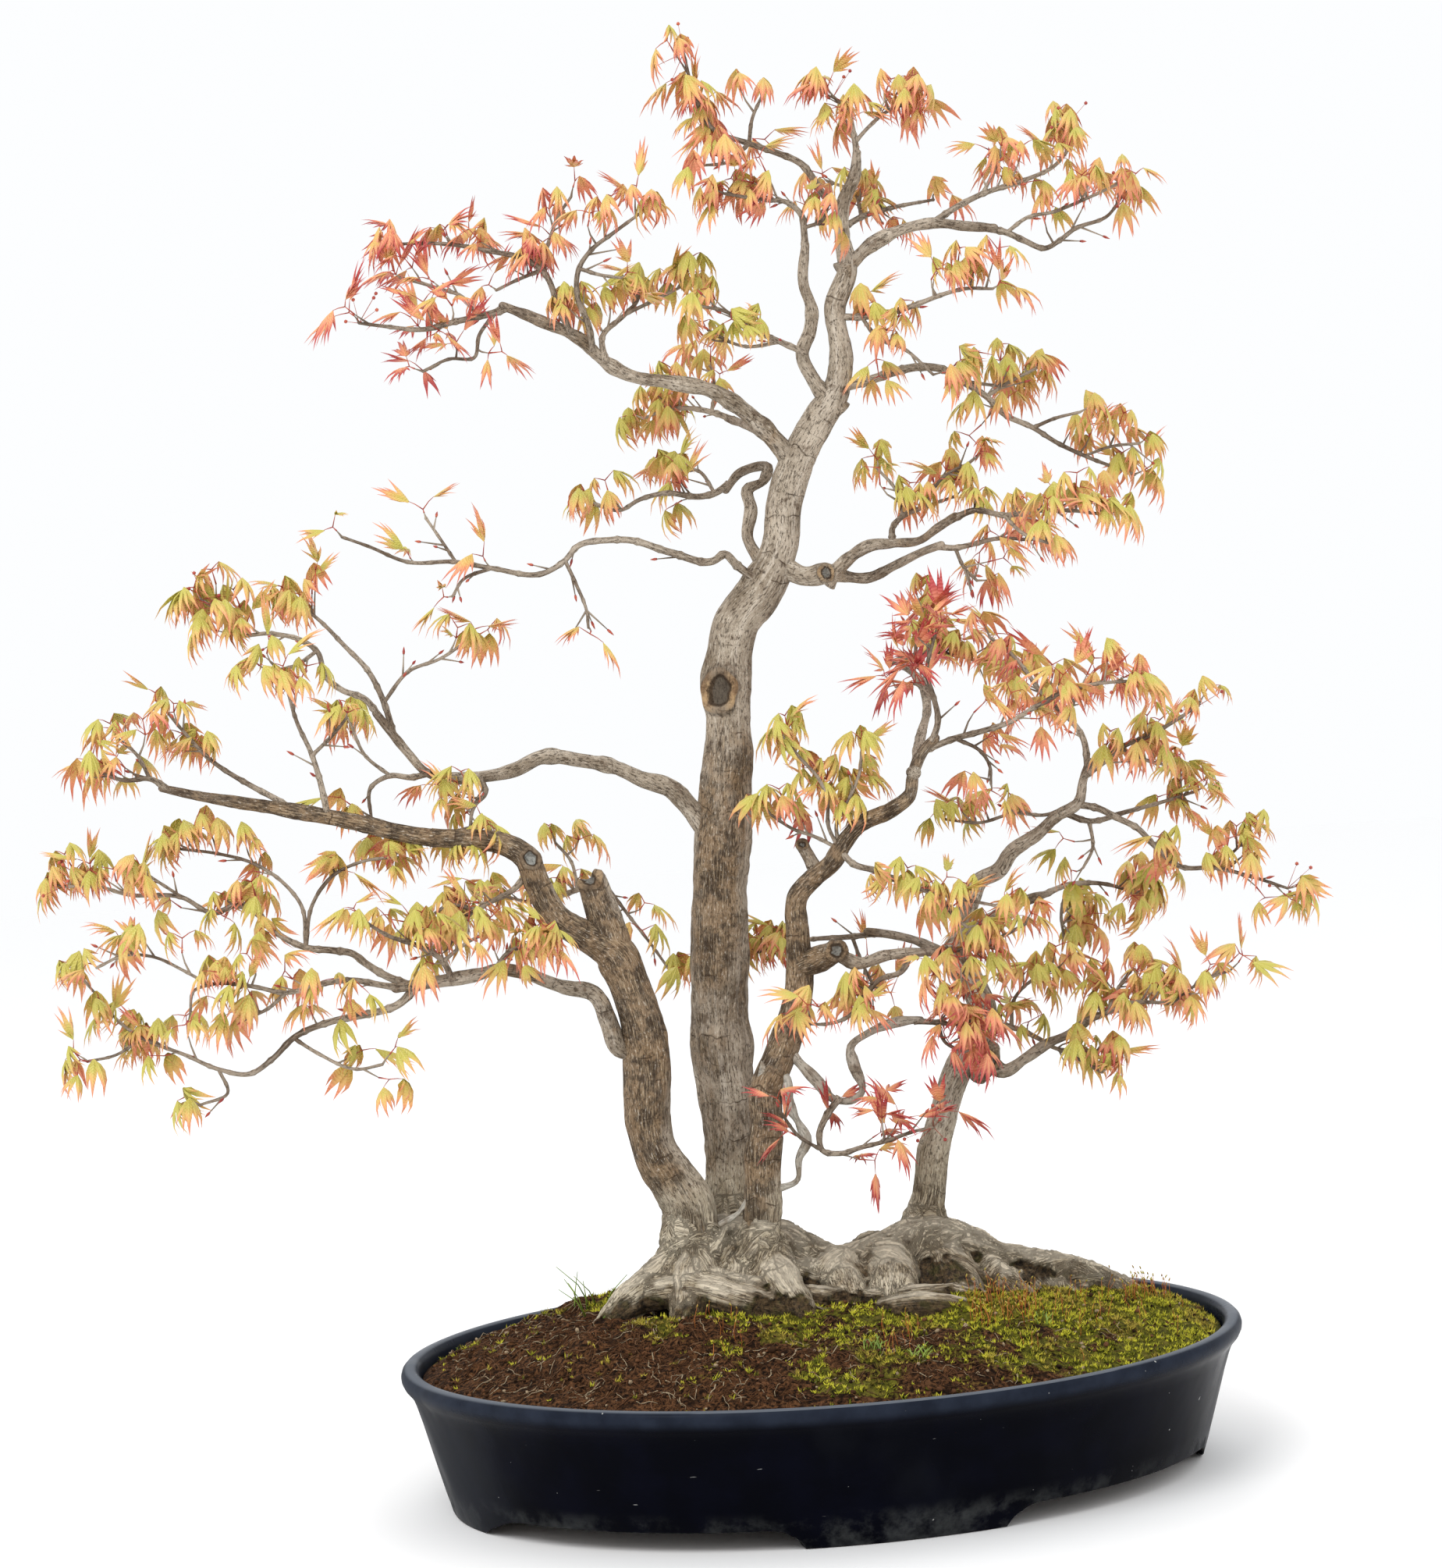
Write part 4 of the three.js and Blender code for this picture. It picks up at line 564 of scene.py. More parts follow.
# Branches read: points [across, down], depths and radii at both ends, which change evenly between them.
STUBS = [
    [(395, 612, -50, 11.5), (388, 590, -50, 11), (380, 567, -50, 9)],
    [(524, 560, -30, 4.8), (514, 541, -26, 4)],
    [(511, 620, -24, 8), (528, 613, -30, 9), (537, 609, -34, 6)],
    [(626, 690, 32, 6), (632, 680, 24, 8), (636, 672, 16, 5)],
    [(500, 362, 8, 7), (516, 369, 2, 6), (530, 367, -6, 6.4), (535, 366, -9, 4)],
]
BRANCHES = [
    ([(545, 169), (557, 158), (573, 149), (598, 143), (620, 145), (637, 146)], (-2, 18), (4.6, 2.8)),
    ([(533, 258), (521, 243), (514, 226), (519, 212), (520, 198), (515, 183), (516, 157)],
     (2, -22), (5.4, 2.8)),
    ([(506, 293), (492, 277), (470, 258), (455, 250), (430, 245), (402, 240), (388, 232), (371, 217),
      (345, 205), (322, 196)], (5, -38), (6.4, 2.8)),
    ([(489, 362), (479, 344), (481, 326), (479, 314), (489, 308), (492, 300), (474, 303), (465, 314)],
     (12, 62), (4.4, 2.8)),
    ([(448, 524), (428, 504), (411, 499), (398, 493), (371, 487), (347, 485), (330, 493), (306, 498),
      (272, 494), (262, 483), (252, 471), (241, 457)], (14, -42), (6.2, 2.5)),
    ([(413, 676), (398, 673), (390, 655), (381, 637), (360, 632), (338, 624), (322, 621), (304, 625),
      (280, 629), (254, 633)], (-44, -80), (5.2, 3.6)),
    ([(535, 610), (549, 617), (568, 612), (590, 610), (607, 609)], (-32, -54), (4.2, 2.6)),
    ([(504, 672), (515, 684), (524, 693), (534, 704), (545, 705), (552, 700), (547, 682), (545, 671),
      (556, 662), (574, 655), (590, 653)], (-30, -62), (4.2, 2.3)),
    ([(492, 687), (503, 690), (505, 706), (513, 722), (517, 731), (512, 742), (511, 756), (497, 762),
      (481, 768), (472, 778), (462, 784)], (-34, -40), (3.4, 1.7)),
    ([(632, 680), (643, 686), (657, 678), (672, 668), (684, 663), (700, 652)], (24, -12), (4.6, 2.7)),
    ([(618, 616), (601, 609), (588, 603), (572, 599), (556, 597)], (24, 58), (4, 2.7)),
    ([(533, 368), (545, 357), (556, 350), (572, 348), (590, 346), (601, 338), (612, 331)],
     (-8, -46), (4.4, 2.6)),
    ([(534, 368), (557, 370), (574, 362), (592, 353), (603, 349)], (-8, 8), (3.6, 2.4)),
    ([(586, 493), (590, 472), (594, 452), (588, 434), (575, 424)], (-56, 124), (3.4, 2.7)),
    ([(394, 614), (392, 600), (388, 586), (384, 574), (378, 566)], (-50, 130), (5, 2.6)),
    ([(506, 310), (500, 288), (486, 276), (466, 268)], (8, 104), (4.6, 2.6)),
    ([(616, 604), (632, 590), (650, 580), (672, 572)], (22, 112), (4.8, 2.6)),
]


def walked_along(points):
    # The distance walked from the first of the points to each one.
    return np.concatenate([[0], np.cumsum(np.linalg.norm(np.diff(points, axis=0), axis=1))])


def traced(rows):
    # A limb's stations, as rows of x, y, z and radius in metres.
    return np.array([[*place(across, down, depth), radius * MM] for across, down, depth, radius in rows])


def branch_line(points, depths, radii):
    points = np.asarray(points, float)
    lengths = walked_along(points)
    shares = lengths / lengths[-1]
    deep = depths[0] + (depths[1] - depths[0]) * shares
    thick = radii[0] + (radii[1] - radii[0]) * shares
    return traced([(*point, d, r) for point, d, r in zip(points, deep, thick)])


def smooth_line(stations, spacing):
    # A smooth curve through the stations, with points at an even spacing and the radius carried along.
    lengths = walked_along(stations[:, :3])
    slopes = np.gradient(stations, lengths, axis=0) if len(stations) > 2 else np.repeat(
        (stations[1:] - stations[:1]) / lengths[1], 2, axis=0)
    spots = np.linspace(0, lengths[-1], max(int(lengths[-1] / spacing) + 1, 3))
    cell = np.clip(np.searchsorted(lengths, spots, side="right") - 1, 0, len(stations) - 2)
    span = (lengths[cell + 1] - lengths[cell])[:, None]
    t = (spots - lengths[cell])[:, None] / span
    line = (2 * t ** 3 - 3 * t ** 2 + 1) * stations[cell] + (t ** 3 - 2 * t ** 2 + t) * span * slopes[cell]
    line += (3 * t ** 2 - 2 * t ** 3) * stations[cell + 1] + (t ** 3 - t ** 2) * span * slopes[cell + 1]
    line[:, 3] = np.maximum(line[:, 3], 0.25 * stations[:, 3].min())
    return line


def round_end(line, steps=4):
    # Closes a line's far end with a dome.
    heading = line[-1, :3] - line[-2, :3]
    heading /= np.linalg.norm(heading)
    radius = line[-1, 3]
    dome = []
    for i in range(1, steps + 1):
        turn = 0.47 * math.pi * i / steps
        dome.append([*(line[-1, :3] + heading * radius * math.sin(turn)), radius * math.cos(turn)])
    return np.concatenate([line, dome])


def unit(vectors):
    return vectors / np.maximum(np.linalg.norm(vectors, axis=-1, keepdims=True), 1e-12)


def frames_along(line):
    # Three directions at each point of a line: along it, and two across it that don't twist.
    along = unit(np.gradient(line[:, :3], axis=0))
    across = np.zeros_like(along)
    current = np.array([0.3, 1.0, 0.2])
    for i, direction in enumerate(along):
        current = current - direction * current.dot(direction)
        current /= np.linalg.norm(current)
        across[i] = current
    return along, across, np.cross(along, across)


def sweep(line, sides, relief=None):
    # A closed limb round a line. It also gives each point's place in the limb: across, other, along, in mm.
    along, across, other = frames_along(line)
    turns = np.arange(sides) * 2 * math.pi / sides
    cosine, sine = np.cos(turns)[None, :, None], np.sin(turns)[None, :, None]
    outwards = across[:, None, :] * cosine + other[:, None, :] * sine
    lengths = walked_along(line[:, :3]) / MM
    radius = np.repeat(line[:, 3:4], sides, axis=1)
    grain_at = np.stack([
        cosine[..., 0] * radius / MM, sine[..., 0] * radius / MM, np.repeat(lengths[:, None], sides, axis=1),
    ], axis=2).reshape(-1, 3)
    if relief is not None:
        radius = radius + relief(grain_at, radius.ravel() / MM).reshape(radius.shape) * MM
    points = (line[:, None, :3] + outwards * radius[..., None]).reshape(-1, 3)
    rings = len(line)
    grid = np.arange(rings * sides).reshape(rings, sides)
    quads = np.stack([grid[:-1], np.roll(grid, -1, 1)[:-1], np.roll(grid, -1, 1)[1:], grid[1:]], axis=2)
    faces = quads.reshape(-1, 4).tolist()
    faces += [(int(b), int(a), rings * sides) for a, b in zip(grid[0], np.roll(grid[0], -1))]
    faces += [(int(a), int(b), rings * sides + 1) for a, b in zip(grid[-1], np.roll(grid[-1], -1))]
    points = np.concatenate([points, line[:1, :3], line[-1:, :3]])
    grain_at = np.concatenate([grain_at, [[0, 0, 0]], [[0, 0, lengths[-1]]]])
    return points, faces, grain_at


class Gathering:
    # Points, faces and point values of a piece, gathered part by part. A value that a part lacks is zero.
    def __init__(self):
        self.points, self.faces, self.slots, self.marks, self.count = [], [], [], {}, 0

    def take(self, points, faces, slot=0, **marks):
        points = np.asarray(points, float)
        self.points.append(points)
        self.faces += [tuple(corner + self.count for corner in face) for face in faces]
        self.slots += [slot] * len(faces)
        for label, values in marks.items():
            self.marks.setdefault(label, []).append((self.count, len(points), values))
        self.count += len(points)

    def piece(self, name, materials):
        marks = {}
        for label, parts in self.marks.items():
            wide = np.ndim(parts[0][2]) == 2
            marks[label] = np.zeros((self.count, 3) if wide else self.count)
            for start, size, values in parts:
                marks[label][start:start + size] = values
        return mesh_piece(name, np.concatenate(self.points), self.faces, materials, marks, self.slots)


def bark_relief(seed, roughness=1.0):
    # Lengthwise swells and ridges and faint crosswise wrinkles, in millimetres.
    def relief(grain_at, radius):
        x, y, along = grain_at.T
        shift = seed * 17.3
        swell = 0.09 * radius * value_noise(np.stack([x / 9 + shift, y / 9, along / 34], 1), 11)
        swell += 0.07 * radius * value_noise(np.stack([x / 60 + shift, y / 60, along / 17], 1), 15)
        dents = 0.05 * radius * value_noise(np.stack([x / 6, y / 6 + shift, along / 11], 1), 12)
        ridges = 0.16 * value_noise(np.stack([x / 2.6, y / 2.6, along / 24 + shift], 1), 13)
        rings = 0.24 * value_noise(np.stack([x / 16, y / 16 + shift, along / 3.4], 1), 14)
        fade = np.clip(radius / 5, 0.15, 1)
        return roughness * (swell + dents + (ridges + rings) * fade)
    return relief


# The root base: roots that have fused into one wrinkled mass. Creeping strands are laid over the swept limbs,
# and all of it is melted together as one skin.
STRAND_STEP = 4.0
VOXEL = 1.65
STRAND_FLOOR, BASE_CUT = 100, 96
# Caves between the roots at the front, with painted shade, as (across, down, half width, half height,
# hollow).
CAVES = [
    (505, 836, 19, 13, 4.5), (546, 841, 28, 10, 5), (616, 821, 20, 8, 4), (668, 828, 15, 7, 4),
    (446, 848, 22, 6, 3), (583, 850, 14, 5, 3), (574, 818, 13, 6, 3), (420, 838, 12, 6, 2.5),
]
# Folds that fill the gaps between the roots at the front.
FOLDS = [
    [(404, 836, -50, 7), (424, 829, -56, 10), (448, 828, -64, 11), (472, 834, -70, 11), (498, 840, -70, 10),
     (524, 846, -66, 9), (546, 848, -58, 8)],
    [(440, 822, -50, 14), (462, 828, -56, 15), (486, 832, -56, 14), (512, 836, -50, 14), (538, 838, -46, 13)],
    [(556, 838, -48, 11), (580, 836, -50, 12), (604, 834, -40, 12), (628, 838, -32, 11), (656, 842, -22, 9)],
]
buried = [rows[:-1] + [(rows[-1][0], rows[-1][1] + 6, *rows[-1][2:])] for rows in ROOTS]
base_limbs = [round_end(smooth_line(traced(rows), 4 * MM)) for rows in ROOT_BASE + buried + FOLDS]
feet = []
for rows in (MAIN_TRUNK, LEFT_TRUNK, SLIM_TRUNK, RIGHT_TRUNK):
    flared = [(*row[:3], row[3] + flare) for row, flare in zip(rows, (2.5, 1.6, -2.5))]
    flared.insert(0, (rows[0][0], rows[0][1] + 26, rows[0][2], rows[0][3] + 5))
    feet.append(round_end(smooth_line(traced(flared), 4 * MM)))
rough_shape = Gathering()
for limb in base_limbs + feet:
    points, faces, _ = sweep(limb, 20)
    rough_shape.take(points, faces)
surface = BVHTree.FromPolygons([Vector(p) for p in np.concatenate(rough_shape.points)], rough_shape.faces)
draw = random.Random(41)


def creeping_strand(start, heading, length, width, drop):
    # Walks over the surface downhill, half sunk into it, and returns a line.
    point, normal, *_ = surface.find_nearest(start)
    trail = []
    walked = 0
    while walked < length:
        share = walked / length
        wander = Vector((draw.uniform(-1, 1), draw.uniform(-1, 1), draw.uniform(-0.6, 0.6))) * 0.3
        heading = (heading + wander + Vector((0, 0, -drop))).normalized()
        heading = (heading - normal * heading.dot(normal)).normalized()
        radius = width * math.sin(math.pi * (0.16 + 0.78 * share)) * MM
        trail.append([*(point - normal * radius * 0.62), radius])
        point, normal, *_ = surface.find_nearest(point + heading * STRAND_STEP * MM)
        walked += STRAND_STEP
        if point.z < STRAND_FLOOR * MM:
            break
    return np.array(trail)


strands = []
for rows, ring_count in ((MAIN_TRUNK, 14), (LEFT_TRUNK, 20), (SLIM_TRUNK, 18), (RIGHT_TRUNK, 22)):
    foot = place(*rows[1][:3])
    for k in range(ring_count):
        turn = 2 * math.pi * (k + draw.random()) / ring_count
        outwards = Vector((math.cos(turn), math.sin(turn), 0))
        start = foot + outwards * rows[1][3] * MM + Vector((0, 0, draw.uniform(-6, 3) * MM))
        swirl = outwards + Vector((-outwards.y, outwards.x, 0)) * draw.uniform(-0.8, 0.8)
        strands.append(creeping_strand(start, swirl, draw.uniform(40, 110), draw.uniform(1.6, 3.4), 0.08))
ridge = smooth_line(traced(ROOT_BASE[0]), 7 * MM)
for before, station in zip(ridge[1:], ridge[2:]):
    along = Vector(station[:3] - before[:3]).normalized()
    for facing_side in (-1, 1, -1, -0.5):
        outwards = Vector((0, facing_side, 0)) + along * draw.choice((-1, 1)) * draw.uniform(0.8, 3.4)
        start = Vector(station[:3]) + Vector((0, facing_side * draw.uniform(0, 20) * MM, station[3]))
        long, width = draw.uniform(35, 90), draw.uniform(1.6, 3.6)
        strands.append(creeping_strand(start, outwards.normalized(), long, width, 0.08))
strands = [strand for strand in strands if len(strand) > 4]

fused = Gathering()
for limb in base_limbs + feet:
    points, faces, _ = sweep(limb, 28)
    fused.take(points, faces)
for strand in strands:
    points, faces, _ = sweep(round_end(smooth_line(strand, 3 * MM), 2), 10)
    fused.take(points, faces)
root_base = fused.piece("root_base", [])
modify(root_base, "REMESH", mode="VOXEL", voxel_size=VOXEL * MM)
modify(root_base, "SMOOTH", factor=0.5, iterations=7)
bpy.ops.object.mode_set(mode="EDIT")
bpy.ops.mesh.select_all(action="SELECT")
bpy.ops.mesh.bisect(plane_co=(0, 0, BASE_CUT * MM), plane_no=(0, 0, 1), use_fill=True, clear_inner=True)
bpy.ops.object.mode_set(mode="OBJECT")


def point_rows(mesh, key):
    rows = np.empty(len(mesh.vertices) * 3)
    mesh.vertices.foreach_get(key, rows)
    return rows.reshape(-1, 3)


def averaged(mesh, values, rounds):
    # Values spread over the mesh's edges, which smooths them.
    edges = np.empty(len(mesh.edges) * 2, np.int32)
    mesh.edges.foreach_get("vertices", edges)
    a, b = edges.reshape(-1, 2).T
    degree = np.bincount(a, minlength=len(values)) + np.bincount(b, minlength=len(values))
    for _ in range(rounds):
        total = np.zeros_like(values)
        np.add.at(total, a, values[b])
        np.add.at(total, b, values[a])
        values = total / np.maximum(degree, 1).reshape(-1, *[1] * (values.ndim - 1))
    return values


# Each point of the base takes its grain from the strand or limb nearest to it.
lines = [smooth_line(limb, 3 * MM) for limb in base_limbs + feet]
lines += [smooth_line(strand, 3 * MM) for strand in strands]
centres, radii, acrosses, others, lengths = [], [], [], [], []
for index, line in enumerate(lines):
    _, across, other = frames_along(line)
    centres.append(line[:, :3])
    radii.append(line[:, 3])
    acrosses.append(across)
    others.append(other)
    lengths.append(np.arange(len(line)) * 3.0 + 37 * index)
centres, radii, lengths = np.concatenate(centres), np.concatenate(radii), np.concatenate(lengths)
acrosses, others = np.concatenate(acrosses), np.concatenate(others)
tree_of_lines = KDTree(len(centres))
for index, centre in enumerate(centres):
    tree_of_lines.insert(centre, index)
tree_of_lines.balance()
base_mesh = root_base.data
base_points = point_rows(base_mesh, "co")


def base_noise(size, seed):
    return value_noise(base_points / MM / size, seed)


nearest = np.array([
    min(tree_of_lines.find_n(point, 10), key=lambda hit: hit[2] - radii[hit[1]])[1] for point in base_points
])
offset = (base_points - centres[nearest]) / MM
grain_at = np.stack([
    (offset * acrosses[nearest]).sum(1), (offset * others[nearest]).sum(1), lengths[nearest],
], axis=1)
normals = point_rows(base_mesh, "normal")
hollow = ((averaged(base_mesh, base_points, 10) - base_points) * normals).sum(1) / MM
x, y, along = grain_at.T
wrinkles = 1.9 * np.abs(value_noise(np.stack([x / 3.6, y / 3.6, along / 30], 1), 21)) - 0.6
wrinkles += 0.45 * value_noise(np.stack([x / 1.9, y / 1.9, along / 16], 1), 22)
wrinkles += 1.0 * base_noise(13, 23) + 0.5 * base_noise(5.5, 24)
base_points = base_points + normals * wrinkles[:, None] * MM
to_front = np.array(FRONT_TO_POT @ Vector((0, -1, 0)))
cave_depth = np.zeros(len(base_points))
for across, down, half_wide, half_high, deep in CAVES:
    offset = (base_points - np.array(place(across, down, -60))) / MM
    seen_across = offset @ np.array(FRONT_TO_POT @ Vector((1, 0, 0)))
    seen_up = offset @ np.array(FRONT_TO_POT @ Vector((0, 0, 1)))
    ring = (seen_across / half_wide) ** 2 + (seen_up / half_high) ** 2
    ring = ring + 1.0 * base_noise(8, 25) + 0.8 * base_noise(3, 26)
    facing_front = np.clip(normals @ to_front * 1.6, 0, 1)
    cave_depth = np.maximum(cave_depth, deep * np.clip(1.2 - ring, 0, 1) * facing_front)
base_points = base_points - to_front * cave_depth[:, None] * MM
# Painted shade: the caves also darken the base's colour.
hollow = hollow + 0.55 * cave_depth
base_mesh.vertices.foreach_set("co", base_points.ravel())
# Its up-facing tops get a painted light, and its low foot at the front is darker.
base_height = base_points[:, 2] / MM
painted_top_light = 1.0 * np.clip(normals[:, 2] - 0.3, 0, 0.7)
ragged_line = base_height + 7 * base_noise(9, 27) + 4 * base_noise(4, 28)
darker_low_front = 1.5 * np.clip((142 - ragged_line) / 14, 0, 1) * np.clip(normals @ to_front * 1.4, 0, 1)
darker_low_front *= 1 - 0.7 * np.clip((base_points[:, 0] - place(*RIGHT_TRUNK[0][:3]).x) / (40 * MM), 0, 1)
# Painted shade and light: hollows, caves and wrinkle dips darker, up-facing tops lighter, the low front foot
# darker.
shade_in = np.clip(averaged(base_mesh, hollow - 0.5 * wrinkles, 1) / 1.5 - painted_top_light + darker_low_front, -1, 1)
base_age = np.clip((225 - base_height) / 50, 0, 1)
from_right = np.linalg.norm(base_points - np.array(place(*RIGHT_TRUNK[0][:3])), axis=1) / MM
base_stain = 0.5 * np.clip((base_height - 150) / 45, 0, 1) * np.clip((from_right - 80) / 40, 0, 1)
mark_points(base_mesh, bark_grain=grain_at, hollow=shade_in, age=base_age, stained=base_stain)
base_mesh.polygons.foreach_set("use_smooth", np.ones(len(base_mesh.polygons), bool))
base_mesh.update()

# The trunks and branches: smooth grey bark with fine lengthwise streaks, crosswise wrinkles, collars where
# branches start, and calluses over old cuts. They grow out of the root base as one piece with it.
BRANCH_SPACING = 2.7 * MM
trunk_sides = ((MAIN_TRUNK, 48), (LEFT_TRUNK, 40), (SLIM_TRUNK, 36), (RIGHT_TRUNK, 36))
PALE_BRANCHES = {7: 0.45, 8: 1.0}
# Old cuts, as [across, down, depth, half width, half height, lip, hollow, greyness of the cut face].
SCARS = [
    (461, 443, -1, 12, 15, 3.0, 2.2, 0.12), (340, 550, -63, 7, 7, 1.4, 1, 1),
    (529.5, 367, -12, 6, 6, 1.3, 1, 0.45), (377, 562, -51, 9.5, 8.5, 1.8, 4, 0.6),
    (514, 541, -27, 4, 4, 0.5, 1.5, 0.6), (536, 609, -38, 7.5, 7, 1.5, 2.4, 0.65),
    (633, 680, 15, 7.5, 7.5, 1.4, 1.4, 0.6),
]


def scarred(points, limb_line):
    # Moves points of a limb into lips and flat faces, and tells how deep in a scar each one lies, how grey
    # that scar's face is and how tan its lip is.
    centre_tree = KDTree(len(limb_line))
    for index, station in enumerate(limb_line):
        centre_tree.insert(station[:3], index)
    centre_tree.balance()
    depth_in, greyness, tan = np.zeros(len(points)), np.zeros(len(points)), np.zeros(len(points))
    for across, down, depth, half_wide, half_high, lip, hollow, grey in SCARS:
        middle = np.array(place(across, down, depth))
        wide = (half_wide + half_high) / 2 * MM
        near = np.nonzero(np.linalg.norm(points - middle, axis=1) < 1.6 * wide)[0]
        for index in near:
            away = FRONT_TO_POT.inverted() @ (Vector(points[index]) - Vector(middle))
            ring = math.hypot(away.x / (half_wide * MM), away.z / (half_high * MM), 0.5 * away.y / wide)
            if ring > 1.4:
                continue
            turn = math.atan2(away.z, away.x)
            ring += 0.07 * math.sin(2 * turn + across) + 0.04 * math.sin(5 * turn + down)
            rolled = lip * (0.5 + 0.5 * abs(math.cos(turn))) * math.exp(-((ring - 0.82) / 0.24) ** 2)
            bulge = rolled - hollow * min(1.0, max(0.0, (0.66 - ring) / 0.12))
            centre, *_ = centre_tree.find(points[index])
            outwards = (Vector(points[index]) - centre).normalized()
            points[index] += np.array(outwards) * bulge * MM
            depth_in[index] = max(depth_in[index], min(1.0, 1.25 - ring))
            greyness[index] = grey
            tan[index] = min(1, max(0, 1.7 * abs(math.cos(turn)) - 0.4)) * (1 - 0.9 * grey)
    return points, np.clip(depth_in, 0, 1), greyness, tan


# Brown stain on each limb, by its index: its share, and how much painted shade is added where the limb faces
# left.
LIMB_STAIN_AND_SIDE_SHADE = {0: (0.4, 0.14), 1: (0.78, 0.42), 2: (0.78, 0.15), 3: (-0.8, 0.1), 4: (0.7, 0.42), 6: (0.55, 0.1)}
to_left = np.array(FRONT_TO_POT @ Vector((-0.8, -0.55, -0.25)).normalized())


# A limb's brown stain, with painted shade added where it faces left.
def stain_with_side_shade(index, outwards, height):
    share, left_side_shade = LIMB_STAIN_AND_SIDE_SHADE.get(index, (0.3, 0.0))
    fade = np.clip((height - 400) / 120, 0, 1) if index == 0 else np.zeros(len(height))
    low = 0.22 * np.clip((260 - height) / 120, 0, 1) if index == 0 else 0
    foot = np.clip((height - 165) / 45, 0.6, 1)
    return np.clip(share + left_side_shade * (outwards @ to_left) + low - 0.34 * fade, -0.8, 1) * foot


limbs = []
for rows, sides in trunk_sides:
    limbs.append((smooth_line(traced(rows), 1.7 * MM), sides, 0.0))
for rows in STUBS:
    limbs.append((smooth_line(traced(rows), 1.5 * MM), 24, 0.0))
for index, (points, depths, radii) in enumerate(BRANCHES):
    line = smooth_line(branch_line(points, depths, radii), BRANCH_SPACING)
    rooted = [line[0] - (line[1] - line[0]) * step for step in range(round(radii[0] / 1.8), 0, -1)]
    line = np.concatenate([rooted, line])
    walked = np.arange(len(line)) * BRANCH_SPACING / MM
    line[:, 3] *= 1 + 0.55 * np.exp(-walked / (1.6 * radii[0]))
    knots = value_noise(np.stack([walked / 9, np.full(len(line), index * 5.0), np.zeros(len(line))], 1), 31)
    line[:, 3] *= 1 + (0.36 if index in PALE_BRANCHES else 0.18) * knots
    limbs.append((line, 18, PALE_BRANCHES.get(index, 0.0)))
wood = Gathering()
for index, (line, sides, pale) in enumerate(limbs):
    closed = round_end(line)
    points, faces, grain_at = sweep(closed, sides, bark_relief(index + 1))
    outwards = unit(points - np.concatenate([np.repeat(closed[:, :3], sides, axis=0), closed[[0, -1], :3]]))
    points, scar, grey, tan = scarred(points, line)
    ring_radius = np.concatenate([np.repeat(closed[:, 3], sides), closed[[0, -1], 3]]) / MM
    height = points[:, 2] / MM
    wood.take(
        points, faces, bark_grain=grain_at + np.array([0, 0, 211.0 * index]), scar=scar, grey=grey, tan=tan,
        pale=pale, hollow=np.zeros(len(points)), age=np.clip((225 - height) / 50, 0, 1),
        young=np.clip((4.6 - ring_radius) / 3.4, 0, 1), stained=stain_with_side_shade(index, outwards, height),
    )

bark = begin_material("maple_bark", 0.8, 0.2)
where = object_place()
along_bark = point_value("bark_grain", "Vector")
age, scar, hollow, pale, young, stained, grey, tan = [
    point_value(label) for label in ("age", "scar", "hollow", "pale", "young", "stained", "grey", "tan")
]
streaks = grain(stretched(along_bark, (1, 1, 0.05)), 0.3, 5, 0.6, 0.3)
fine_streaks = grain(stretched(along_bark, (1, 1, 0.06)), 1.3, 5, 0.66)
patches = grain(where, 30, 5, 0.6)
blotches = grain(where, 85, 6, 0.65)
stains = grain(stretched(where, (1, 1, 0.35)), 17, 5, 0.6, 0.4)
flecks = grain(stretched(along_bark, (1, 1, 0.28)), 0.95, 4, 0.7, 0.3)
# The upper bark is light and streaked, the old wood at the foot bleached, and brown stain and painted shade
# run over both.
light = layered(
    between(patches, 0.32, 0.68, (0.19, 0.146, 0.1), (0.46, 0.39, 0.305)),
    (streaks, 0.46, 0.66, 0.6, (0.58, 0.51, 0.42)), (fine_streaks, 0.46, 0.3, 0.6, (0.13, 0.092, 0.062)),
    (blotches, 0.56, 0.66, 0.68, (0.09, 0.055, 0.032)),
)
old = layered(
    between(patches, 0.34, 0.66, (0.33, 0.26, 0.165), (0.68, 0.595, 0.44)),
    (fine_streaks, 0.52, 0.7, 0.5, (0.82, 0.74, 0.6)),
    (fine_streaks, 0.48, 0.36, 0.85, (0.1, 0.064, 0.036)), (stains, 0.52, 0.68, 0.5, (0.2, 0.135, 0.075)),
    (blotches, 0.58, 0.7, 0.5, (0.075, 0.044, 0.025)),
)
colour = blend_colour(age, light, old)
brown = layered(
    between(blotches, 0.42, 0.58, (0.2, 0.126, 0.066), (0.045, 0.026, 0.013)),
    (fine_streaks, 0.5, 0.64, 0.7, (0.4, 0.295, 0.18)),
)
# Painted shade: the stain is stronger on the side of each limb that faces left.
stain_and_shade_run = plus(stained, times(minus(stains, 0.5), 2.2))
colour = layered(colour, (stain_and_shade_run, 0.22, 0.62, 0.88, brown))
dark_flecks = times(spread(flecks, 0.55, 0.64), 0.8)
colour = blend_colour(dark_flecks, colour, (0.085, 0.058, 0.038))
colour = layered(colour, (flecks, 0.43, 0.32, 0.55, (0.68, 0.61, 0.51)))
